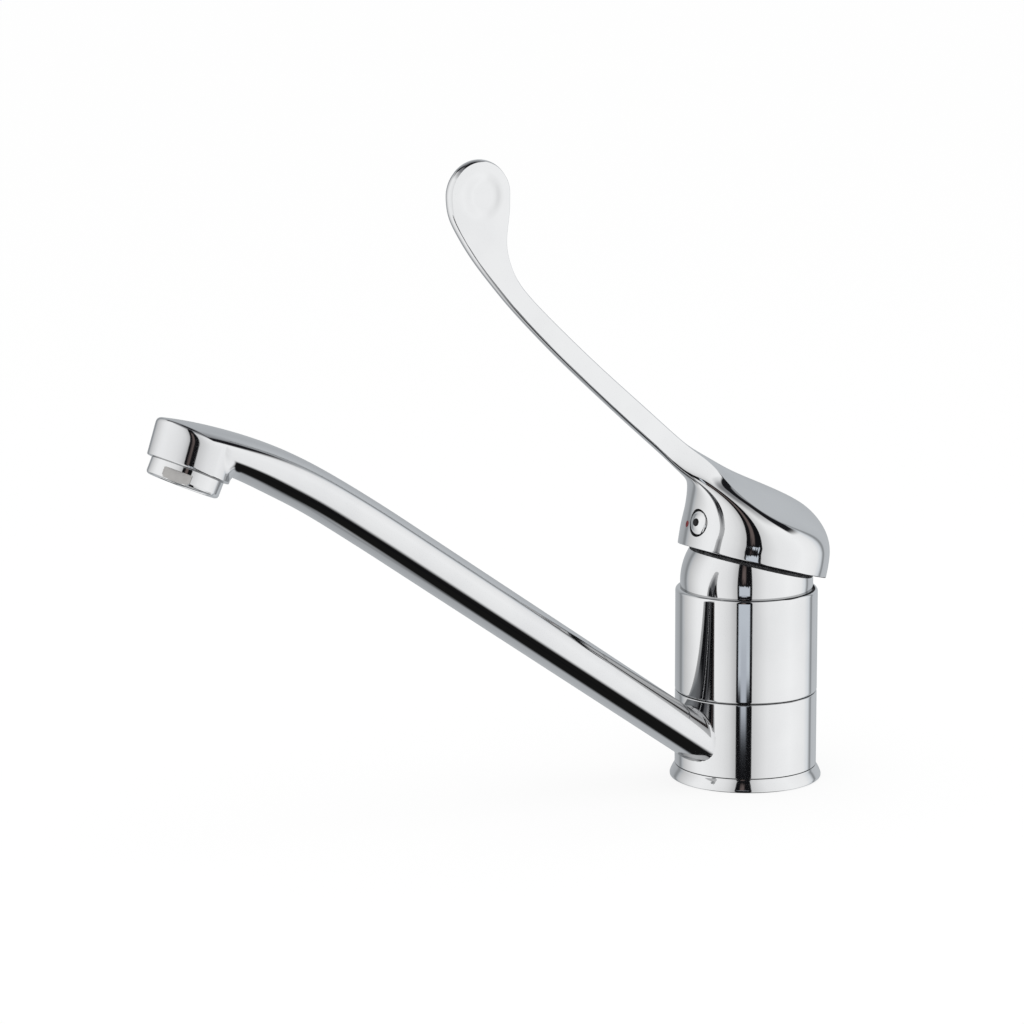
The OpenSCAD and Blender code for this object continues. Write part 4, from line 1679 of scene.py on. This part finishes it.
    def stations(self) -> Array:
        """Closely spaced rows of the whole lever.

        Returns:
            The rows from the rim to the tip.
        """
        known = [[*row, 0.0, 1.0, 0.0] for row in self.hub]
        known += [self.blade_row(row) for row in self.arm]
        known += [self.pad_row(angle) for angle in self.pad_knots]
        table = np.array(known)
        last = len(table) - 1
        body = spline(table, np.linspace(0, last, self.rows_between * last + 1))
        body[:, 6:8] = np.minimum(body[:, 6:8], self.widest)
        body[:, 9] = np.clip(body[:, 9], 0, 1)
        return np.concatenate([body, np.array([self.pad_row(angle) for angle in self.climb])])

    def half_section(self, row: Array) -> Array:
        """Depth and half width of one side of a section, from the front to the rear.

        Args:
            row: The section's row.

        Returns:
            A fixed number of points.
        """
        least_gap, least_front, least_full = 0.02, 0.05, 0.7
        flare, nose_share, fewest = 4, 0.3, 3
        length = hypot(row[0] - row[2], row[1] - row[3])
        a, k, w, wk, q, creased, steep, curve = row[4:12]
        k = min(k, length - least_gap)
        steps = np.linspace(0, 1, self.section_points)
        depth = k * steps * steps
        power = 2 * k / max(a, least_front)
        full = np.sqrt(np.clip(1 - (1 - depth / k) ** power, 0, 1))
        most = w + (wk - w) * (depth / k) ** flare
        near = np.maximum.accumulate(depth * steep - depth**2 * curve)
        bow = np.sqrt(np.maximum(2 * self.nose_radius * near - near**2, 0))
        blunt = np.where(near < self.nose_depth, bow, self.blade / 2)
        width = most * full
        width = width + (np.minimum(blunt, most) - width) * creased
        u = 1 - np.linspace(1, 0, self.section_points) ** 2
        taper = np.sqrt(np.clip(1 - u ** max(q, least_full), 0, 1))
        front = np.stack([depth, width], axis=1)
        rear = np.stack([k + (length - k) * u, wk * taper], axis=1)
        front_run, rear_run = run_length(front), run_length(rear)
        edge = min(self.crease_edge, *(self.crease_share * r[-1] for r in (front_run, rear_run)))
        start = on_path(front, front_run, front_run[-1] - edge)
        end = on_path(rear, rear_run, edge)
        kept_front = np.concatenate([front[front_run < front_run[-1] - edge], [start]])
        kept_rear = np.concatenate([[end], rear[rear_run > edge]])
        rising = np.argmax(near) + 1
        reach = np.interp(self.nose_depth, near[:rising], depth[:rising])
        nose = reach * creased + nose_share * a * (1 - creased)
        turn = int(np.searchsorted(kept_front[:, 0], nose))
        turn = min(max(turn, fewest), len(kept_front) - fewest - 1)
        return np.concatenate(
            [
                even_steps(kept_front[: turn + 1], self.nose_points)[:-1],
                even_steps(kept_front[turn:], self.front_points),
                cut_corner(start, front[-1], end, self.corner_points),
                even_steps(kept_rear, self.rear_points),
            ]
        )

    def ring(self, row: Array) -> Array:
        """Closed ring of one section, in the tap's frame.

        Args:
            row: The section's row.

        Returns:
            The ring's points.
        """
        front, rear = row[0:2], row[2:4]
        half = self.half_section(row)
        spots = front + (rear - front) * (half[:, 0] / np.linalg.norm(rear - front))[:, None]
        near = upright(spots[:, 0], spots[:, 1], half[:, 1])
        far = near[1:-1][::-1] * (-1, 1, 1)
        return np.concatenate([near, far])

    def press_dimples(self, points: Array) -> Array:
        """Presses the round dimple into both faces of the pad.

        Args:
            points: The lever's points.

        Returns:
            The points with the dimples.
        """
        ahead = (-points[:, 1] - self.pad_reach) / self.dimple_radius
        gap = np.hypot(ahead, (points[:, 2] - self.pad_height) / self.dimple_radius)
        soft = 1 + self.dimple_soft * np.clip(ahead - self.dimple_soft_from, 0, 1)
        depth = self.dimple_depth * ramp((1 - gap) / (self.dimple_wall * soft), 0, 1)
        points = points.copy()
        points[:, 0] -= np.sign(points[:, 0]) * np.minimum(depth, np.abs(points[:, 0]))
        return points

    def hollow_frame(self) -> tuple[Array, Array, float]:
        """Frame of the hollow's mouth.

        Returns:
            Its middle, its upward direction, and its rise above the pivot.
        """
        front, rear = np.array(self.hub[0][0:2]), np.array(self.hub[0][2:4])
        slant = (front - rear) / np.linalg.norm(front - rear)
        up = np.array([-slant[1], slant[0]])
        pivot = np.array([0, self.pivot])
        rise = float(((front + rear) / 2 - pivot) @ up)
        return upright(*(pivot + up * rise), 0.0), upright(*up, 0.0), rise

    def inner_rings(self, rings: list[Array]) -> tuple[list[Array], int]:
        """Rings of the hollow, its edge and the rim's rounded lip.

        Args:
            rings: The skin's rings from the rim up.

        Returns:
            The rings from the hollow's top to the lip, and how many of the skin's they replace.
        """
        lip_steps, edge_steps = 6, 3
        rim = rings[0]
        run = np.zeros(len(rim))
        kept = 1
        while run.min() < self.lip_edge:
            run += np.linalg.norm(rings[kept] - rings[kept - 1], axis=1)
            kept += 1
        share = (self.lip_edge / run)[:, None]
        above = rim + (rings[kept - 1] - rim) * np.minimum(share, 1)
        centre, up, rise = self.hollow_frame()
        outward = rim - centre
        outward /= np.linalg.norm(outward, axis=1)[:, None]
        inner = centre + outward * sqrt(self.hollow**2 - rise**2)
        share = self.lip_edge / np.linalg.norm(inner - rim, axis=1)
        lip_in = rim + (inner - rim) * np.minimum(1, share)[:, None]
        lip = cut_corner(lip_in, rim, above, lip_steps)
        lifts = np.linspace(asin(rise / self.hollow), pi / 2, self.sphere_rows)[1:-1]
        middle = upright(0.0, self.pivot, 0.0)
        sphere = [
            middle + up * self.hollow * sin(lift) + outward * self.hollow * cos(lift)
            for lift in lifts
        ]
        edge_in = inner + (sphere[0] - inner) * self.inner_edge
        edge_out = inner + outward * self.inner_edge
        edge = cut_corner(edge_in, inner, edge_out, edge_steps)
        return sphere[::-1] + [edge_in, *edge, edge_out, lip_in, *lip, above], kept

    def arm_mesh(self) -> Piece:
        """Makes the lever's skin with its rim and hollow.

        Returns:
            The skin.
        """
        rings = [self.ring(row) for row in self.stations()]
        around = len(rings[0])
        inner, kept = self.inner_rings(rings)
        stack = inner + rings[kept:]
        roof = upright(0.0, self.pivot, 0.0) + self.hollow_frame()[1] * self.hollow
        points = np.concatenate([*stack, [roof, stack[-1].mean(0)]])
        faces = ring_faces(len(stack), around)
        pole, last = len(points) - 2, (len(stack) - 1) * around
        for j in range(around):
            k = (j + 1) % around
            faces += [[j, k, pole], [last + k, last + j, pole + 1]]
        piece = place_mesh("lever_arm", self.press_dimples(points), faces)
        face_outwards(piece)
        return piece

    def stem_axis(self) -> Matrix:
        """Frame at the pivot in millimetres, with its Z axis up the raised stem."""
        swing = Matrix.Rotation(radians(-self.half_swing), 4, "X")
        return Matrix.Translation((0, 0, self.pivot)) @ swing

    def stem_place(self, x: float, t: float, s: float, turn: float = 0.0) -> Matrix:
        """Frame on the lever's front, with its Z axis pointing out of it.

        Args:
            x: Sideways distance.
            t: Distance in front of the stem.
            s: Distance up the stem from the pivot.
            turn: Turn to the side in degrees.

        Returns:
            The frame in millimetres.
        """
        aside = Matrix.Rotation(radians(-turn), 4, "Z")
        forward = Matrix.Rotation(radians(90), 4, "X")
        return self.stem_axis() @ Matrix.Translation((x, -t, s)) @ aside @ forward

    def button_place(self, side: int) -> Matrix:
        """Frame of the button, at side -1, or of its seat, at side 1."""
        shift = side * self.seat_shift
        return self.stem_place(shift, self.button_t, self.button_s - shift / 2)

    def cut_button_seat(self, arm: Piece) -> None:
        """Sinks the button's round seat into the hub.

        Args:
            arm: The lever's skin.
        """
        outline = plug_outline(self.button_radius + self.seat_gap, 0, 8, 0.2, 4)
        tool = turned("seat_tool", outline, 96, self.button_place(1))
        cut = arm.modifiers.new("seat", "BOOLEAN")
        cut.operation = "DIFFERENCE"
        cut.solver = "EXACT"
        cut.object = tool
        mesh = shown_mesh(arm, "lever_arm")
        arm.modifiers.remove(cut)
        arm.data = mesh
        bpy.data.objects.remove(tool)

    def paint_shade_inside(self, arm: Piece) -> None:
        """Paints shade on the hollow, the boss, the button's seat and the rim's underside, with a
        near-black finish.

        Args:
            arm: The lever's skin, already dressed.
        """
        play, seat_play, downward = 0.05, 0.01, 0.55
        middle = Vector((0, 0, self.pivot))
        seat = self.button_place(1).inverted()
        seat_radius = self.button_radius + self.seat_gap + seat_play
        (front, low), (rear, high) = self.hub[0][0:2], self.hub[0][2:4]
        down = Vector((0, low - high, rear - front)).normalized()

        def in_shade(polygon: bpy.types.MeshPolygon) -> bool:
            """Whether a face takes the painted shade: in the hollow, in the seat or on the rim's
            underside.
            """
            spot = polygon.center / MM
            local = seat @ spot
            inside = (spot - middle).length < self.hollow + play
            level = self.seat_shade[0] < local.z < self.seat_shade[1]
            sunk = local.xy.length < seat_radius and level
            under = spot.z < self.rim_top and polygon.normal.dot(down) > downward
            return inside or sunk or under

        # painted shade on the faces in the hollow, in the seat and under the rim
        repaint(arm, PAINTED_SHADE, in_shade)

    def button(self) -> None:
        """Makes the button: a flat dish with a round shoulder, and a black filler in its centre
        hole that paints the hole's shade.
        """
        top, dish, floor, recess = 2.6, 15, 1.6, 0.08
        shoulder_start, shoulder_height, side_play = 0.35, 1.2, 0.12
        stub_radius, stub_end, rim = 2.6, -4.0, 0.05
        shade_foot, shade_top, shade_dome = 1.7, 2.5, 0.8
        radius, hole_radius = self.button_radius, self.hole_radius
        place = self.button_place(-1)
        crown = [(r, top - r * r / dish) for r in np.linspace(hole_radius, self.crown_radius, 12)]
        edge = crown[-1][1] - shoulder_height
        hole = [(0.0, floor), (hole_radius, floor), (hole_radius, crown[0][1] - recess)]
        breadth = radius - self.crown_radius
        shoulder = [
            (self.crown_radius + breadth * sin(v), edge + shoulder_height * cos(v))
            for v in np.linspace(shoulder_start, pi / 2, 16)
        ]
        foot = [(radius, rim), (stub_radius, 0.0), (stub_radius, stub_end), (0.0, stub_end)]
        outline = np.array(hole + crown[:-1] + shoulder + foot)
        cap = turned("lever_button", outline, 128, place, 60)
        dress(cap, CHROME, Body.LEVER, "chrome_plug", "indicator_plug")
        inward = place.inverted()

        def on_shaded_side(polygon: bpy.types.MeshPolygon) -> bool:
            """Whether a face lies on the button's side."""
            return (inward @ (polygon.center / MM)).xy.length > radius - side_play

        # painted shade on the button's side, where the gap round it lies in shade
        repaint(cap, PAINTED_SHADE, on_shaded_side)
        # painted shade: a black domed filler in the centre hole stands for its shade
        swell = np.linspace(0, pi / 2, 16)
        dome = [(hole_radius * sin(v), shade_top + shade_dome * cos(v)) for v in swell]
        disc = np.array([*dome, (hole_radius, shade_foot), (0.0, shade_foot)])
        pin = turned("button_hole_shade", disc, 64, place, 50)
        dress(pin, HOLE_SHADE, Body.LEVER, "rubber")

    def dot(self, arm: Piece) -> None:
        """Sets the red dot on the hub beside the button.

        Args:
            arm: The lever's skin.
        """
        start, depth, middle, height, shoulder, rim = 12, -0.7, 0.7, 0.1, 0.09, 0.02
        aim = self.stem_place(-self.mark_x, self.mark_t, self.mark_s, self.mark_turn)
        outward = (aim.to_3x3() @ Vector((0, 0, 1))).normalized()
        hit, spot, normal, _ = arm.ray_cast((aim.translation + outward * start) * MM, -outward)
        if not hit:
            raise ValueError("the red dot misses the hub")
        turn = normal.to_track_quat("Z", "Y").to_matrix().to_4x4()
        top = [(0, height, 0), (middle, shoulder, 0.3), (self.mark_radius, rim, 0.05)]
        outline = rounded_profile([*top, (self.mark_radius, depth, 0), (0, depth, 0)])
        dot = turned("heat_dot", outline, 48, Matrix.Translation(spot / MM) @ turn, 40)
        dress(dot, RED_ENAMEL, Body.LEVER, "mark_red", "hot_mark")

    def add_boss(self, arm: Piece) -> None:
        """Adds the boss inside the hub that grips the stem.

        Args:
            arm: The lever's skin, which takes the boss in.
        """
        outline = plug_outline(self.boss_radius, self.boss_start, self.hollow + 1, 0.5, 6)
        boss = turned("boss", outline, 96, self.stem_axis())
        with bpy.context.temp_override(active_object=arm, selected_editable_objects=[arm, boss]):
            bpy.ops.object.join()

    def build(self) -> None:
        """Makes the lever, its button and its dot."""
        arm = self.arm_mesh()
        bpy.context.view_layer.update()
        self.dot(arm)
        self.cut_button_seat(arm)
        smooth_shaded(arm.data, 38)
        self.add_boss(arm)
        dress(arm, CHROME, Body.LEVER, "chrome_lever", "lever_handle")
        self.paint_shade_inside(arm)
        self.button()
        dress_nodes(SCREW_STEEL, "handle_set_screw")


# ---- Cartridge ----


@dataclass
class Cartridge:
    """Parts of the mixing cartridge, which keep their CAD shapes."""

    def build(self) -> None:
        """Dresses every part."""
        dress_nodes(HOUSING_PLASTIC, "cartridge_base", "cartridge_housing")
        dress_nodes(RUBBER, "cartridge_port_seals")
        dress_nodes(CERAMIC, "fixed_disc", "moving_disc")
        dress_nodes(BRASS, "cartridge_nut", "cartridge_stem")
        dress_nodes(GUIDE_PLASTIC, "stem_guide")
        dress_nodes(PIN_STEEL, "stem_pivot_pin")
        dress_nodes(GLIDE_PLASTIC, "disc_carrier")


# ---- Studio ----

WHITE = (1, 1, 1, 1)


@dataclass(frozen=True)
class Panel:
    """One area of the studio that the chrome reflects, on the sphere of directions.

    Azimuth 0 is the side of the photograph's camera and grows to the camera's right.

    Attributes:
        azimuth: Left and right limit in degrees.
        elevation: Lower and upper limit in degrees.
        shade: Its linear colour.
        soft: Width of its side edges in degrees.
        soft_up: Width of its lower and upper edges in degrees.
        ragged: How far its upper edge wanders, in degrees.
    """

    azimuth: Span
    elevation: Span
    shade: Colour
    soft: float
    soft_up: float
    ragged: float = 0.0

    def cover(self, t: Tree, azimuth: Socket, elevation: Socket) -> Socket:
        """How far the panel covers a direction.

        Args:
            t: The tent's tree.
            azimuth: Azimuth of the direction in degrees.
            elevation: Elevation of the direction in degrees.

        Returns:
            A value from 0 to 1.
        """
        squash, scale, calm = 0.15, 0.45, (-12.0, -5.0)
        if self.ragged:
            place = t.vector({0: azimuth, 1: t.product(elevation, squash)})
            grain = {"Vector": place, "Scale": scale, "Detail": 3.0}
            noise = t.math("SUBTRACT", t.out("ShaderNodeTexNoise", grain), 0.5)
            shift = t.product(noise, 2 * self.ragged)
            elevation = t.total(elevation, t.product(shift, t.step(elevation, *calm)))
        whole: object = 1.0
        for value, (low, high), soft, end in (
            (azimuth, self.azimuth, self.soft, 180),
            (elevation, self.elevation, self.soft_up, 90),
        ):
            if low > -end:
                whole = t.product(whole, t.step(value, low - soft / 2, low + soft / 2))
            if high < end:
                whole = t.product(whole, t.step(value, high + soft / 2, high - soft / 2))
        return whole


@dataclass
class Studio:
    """White light tent, seen in the chrome only; the floor and a soft lamp light the rest.

    Attributes:
        wall_tones: Azimuth in degrees and brightness of the cloth there.
        second_bounce: Share of the tent's light that reaches the chrome's second mirroring.
        bounce_step: Number of rays so far over which that share comes in.
    """

    camera_azimuth: float = atan2(-0.604, 0.797)
    centre: Place = (0.0, 0.0, 0.1)
    radius: float = 0.8
    bands: int = 24
    around: int = 48
    pole_gap: float = 0.02
    second_bounce: float = 0.55
    bounce_step: Span = (1.2, 1.8)
    cool_from: float = 118.0
    cool: float = 0.04
    plain_cool: float = 0.004
    room_light: float = 0.9
    floor_size: float = 6.0
    floor_glow: float = 1.025
    floor_white: float = 0.82
    lamp_size: float = 0.9
    lamp_power: float = 2.2
    lamp_place: Place = (0.5, -0.3, 1.2)
    lamp_aim: Place = (0, -0.08, 0.08)
    wall_tones: tuple[Span, ...] = (
        (-180, 0.45), (-165, 0.46), (-150, 0.42), (-138, 0.38), (-132, 0.26), (-128, 0.27),
        (-123, 0.46), (-116, 0.56), (-105, 0.68), (-95, 0.78), (-85, 0.87), (-73, 0.9),
        (-50, 0.85), (-36, 0.79), (-26, 0.7), (-16, 0.5), (12, 0.62), (19, 0.69),
        (26, 0.76), (35, 0.83), (56, 0.88), (75, 0.92), (98, 0.87), (108, 0.84), (120, 0.7),
        (124, 0.48), (127, 0.26), (130, 0.28), (134, 0.5), (150, 0.52), (180, 0.45),
    )
    panels: tuple[Panel, ...] = (
        # roof: dim cloth, darker in its middle
        Panel((-181, 181), (52, 91), (0.2, 0.203, 0.213), 1, 22),
        Panel((-181, 181), (72, 91), (0.01, 0.01, 0.012), 1, 12),
        # dark frames at the back corners of the roof
        Panel((86, 122), (36, 72), (0.01, 0.01, 0.012), 8, 10),
        Panel((-124, -98), (42, 72), (0.01, 0.01, 0.012), 8, 10),
        # open, dark underside
        Panel((-108, 108), (-91, -57), (0.008, 0.008, 0.008), 14, 18),
        Panel((-181, 181), (-91, -64), (0.008, 0.008, 0.008), 1, 12),
        # dark slit round the camera with the lit room behind it
        Panel((-15.2, 9.9), (-91, 66), (0.006, 0.006, 0.007), 1.2, 8),
        Panel((-7.5, -1), (6, 34), (0.12, 0.095, 0.09), 3, 16, ragged=14.0),
        Panel((-12, 6), (-17.6, -1.5), (0.51, 0.55, 0.6), 1.4, 1.2, ragged=5.0),
        Panel((-8, 1), (-19.2, -16), (0.42, 0.45, 0.5), 4, 1.8),
    )

    def wall_mesh(self) -> bpy.types.Mesh:
        """Makes the tent's round wall with its floor and roof.

        Returns:
            The mesh.
        """
        end = pi / 2 - self.pole_gap
        x, y, z = self.centre
        points = [
            (
                x + self.radius * cos(rise) * cos(turn),
                y + self.radius * cos(rise) * sin(turn),
                z + self.radius * sin(rise),
            )
            for rise in np.linspace(-end, end, self.bands)
            for turn in whole_turn(self.around)
        ]
        top = (self.bands - 1) * self.around
        caps = [list(range(start, start + self.around)) for start in (0, top)]
        mesh = bpy.data.meshes.new("tent")
        mesh.from_pydata(points, [], ring_faces(self.bands, self.around) + caps)
        return mesh

    def wall(self) -> None:
        """Makes the tent's wall, which only mirror rays see."""
        bpy.ops.object.select_all(action="DESELECT")
        tent = linked("tent", self.wall_mesh())
        for rays in ("camera", "diffuse", "shadow", "transmission", "volume_scatter"):
            setattr(tent, "visible_" + rays, False)
        made = bpy.data.materials.new("tent_cloth")
        t = Tree.of(made)
        outward = {0: t.here(), 1: self.centre}
        spot = t.out("ShaderNodeVectorMath", outward, operation="SUBTRACT")
        way = t.parts(t.out("ShaderNodeVectorMath", {0: spot}, operation="NORMALIZE"))
        cosine, sine = cos(self.camera_azimuth), sin(self.camera_azimuth)
        ahead = t.total(t.product(way[0], cosine), t.product(way[1], sine))
        right = t.total(t.product(way[0], -sine), t.product(way[1], cosine))
        azimuth = t.product(t.math("ARCTAN2", right, ahead), 180 / pi)
        elevation = t.product(t.math("ARCSINE", way[2]), 180 / pi)
        colour = self.tones(t, azimuth)
        for panel in self.panels:
            colour = t.mix(panel.cover(t, azimuth, elevation), colour, (*panel.shade, 1))
        bounces = t.node("ShaderNodeLightPath").outputs["Ray Depth"]
        lost = t.product(t.step(bounces, *self.bounce_step), 1 - self.second_bounce)
        glow = t.out("ShaderNodeEmission", {0: colour, 1: t.math("SUBTRACT", 1.0, lost)})
        t.node("ShaderNodeOutputMaterial", {"Surface": glow})
        tent.data.materials.append(made)

    def tones(self, t: Tree, azimuth: Socket) -> Socket:
        """Brightness of the cloth round the tent, from tone to tone.

        Args:
            t: The tent's tree.
            azimuth: Azimuth in degrees.

        Returns:
            The colour's socket.
        """
        share = t.math("DIVIDE", t.total(azimuth, 180.0), 360.0)
        band = t.node("ShaderNodeValToRGB", {0: share})
        stops = band.color_ramp.elements
        for angle, _ in self.wall_tones[1:-1]:
            stops.new((angle + 180) / 360)
        for stop, (angle, tone) in zip(sorted(stops, key=lambda s: s.position), self.wall_tones):
            cool = self.cool if abs(angle) > self.cool_from else self.plain_cool
            stop.color = (tone * (1 - cool), tone, tone * (1 + cool), 1)
        return band.outputs[0]

    def world(self) -> None:
        """Makes the surroundings: plain light, and plain white for the camera."""
        world = bpy.data.worlds.new("studio")
        bpy.context.scene.world = world
        t = Tree.of(world)
        seen = t.node("ShaderNodeLightPath").outputs["Is Camera Ray"]
        plain, white = (
            t.out("ShaderNodeBackground", {0: WHITE, 1: strength})
            for strength in (self.room_light, 1.0)
        )
        shown = t.out("ShaderNodeMixShader", {0: seen, 1: plain, 2: white})
        t.node("ShaderNodeOutputWorld", {"Surface": shown})

    def floor(self) -> None:
        """Makes the pale floor, which keeps a soft shadow and stays out of reflections."""
        mesh = bpy.data.meshes.new("floor")
        size = self.floor_size
        corners = [(-size, -size, 0), (size, -size, 0), (size, size, 0), (-size, size, 0)]
        mesh.from_pydata(corners, [], [[0, 1, 2, 3]])
        floor = linked("floor", mesh)
        floor.visible_glossy = False
        made = bpy.data.materials.new("pale_floor")
        t = Tree.of(made)
        noise = t.out("ShaderNodeTexNoise", {"Vector": t.here(), "Scale": 3.0})
        tone = t.mix(noise, (0.93, 0.93, 0.93, 1), (0.95, 0.95, 0.95, 1))
        matt = t.out("ShaderNodeBsdfDiffuse", {0: tone})
        white = t.out("ShaderNodeEmission", {0: WHITE, 1: self.floor_glow})
        camera = t.node("ShaderNodeLightPath").outputs["Is Camera Ray"]
        seen = t.product(camera, self.floor_white)
        mixed = t.out("ShaderNodeMixShader", {0: seen, 1: matt, 2: white})
        t.node("ShaderNodeOutputMaterial", {"Surface": mixed})
        mesh.materials.append(made)

    def lamp(self) -> None:
        """Makes one large soft lamp above the tap's left, which is left out of reflections."""
        data = bpy.data.lights.new("softbox", "AREA")
        data.shape = "RECTANGLE"
        data.size = data.size_y = self.lamp_size
        data.energy = self.lamp_power
        lamp = linked("softbox", data)
        lamp.location = self.lamp_place
        lamp.rotation_mode = "QUATERNION"
        aim = Vector(self.lamp_aim) - lamp.location
        lamp.rotation_quaternion = aim.to_track_quat("-Z", "Y")
        lamp.visible_glossy = False
        lamp.visible_camera = False

    def build(self) -> None:
        """Makes the surroundings, the tent, the floor and the lamp."""
        self.world()
        self.wall()
        self.floor()
        self.lamp()
        bpy.context.scene.view_settings.view_transform = "Standard"


@dataclass(frozen=True)
class Viewpoint:
    """The photograph's camera: place in metres, angles in degrees, lens in millimetres."""

    location: Place = (0.95673, -0.72434, 0.31750)
    azimuth: float = 56.246
    pitch: float = 10.727
    roll: float = -0.165
    lens: float = 130.83
    sensor: float = 36
    shift: Span = (-0.01904, -0.00479)
    clip: Span = (0.01, 50)

    def build(self) -> None:
        """Makes the camera."""
        data = bpy.data.cameras.new("camera")
        data.lens = self.lens
        data.sensor_width = self.sensor
        data.shift_x, data.shift_y = self.shift
        data.clip_start, data.clip_end = self.clip
        camera = linked("camera", data)
        heading, dip = radians(self.azimuth), radians(self.pitch)
        level = cos(dip)
        ahead = Vector((-sin(heading) * level, cos(heading) * level, -sin(dip)))
        turn = ahead.to_track_quat("-Z", "Y").to_matrix().to_4x4()
        roll = Matrix.Rotation(radians(self.roll), 4, "Z")
        camera.matrix_world = Matrix.Translation(self.location) @ turn @ roll
        bpy.context.scene.camera = camera


def main() -> None:
    """Builds the tap, the studio and the camera."""
    logging.basicConfig(level=logging.INFO, format="%(name)s: %(message)s")
    Viewpoint().build()
    Studio().build()
    for part in (Foot(), MixerBody(), Dome(), Sleeve(), Spout(), Aerator(), Cartridge(), Lever()):
        log.info("building %s", type(part).__name__)
        part.build()


if __name__ == "__main__":
    main()
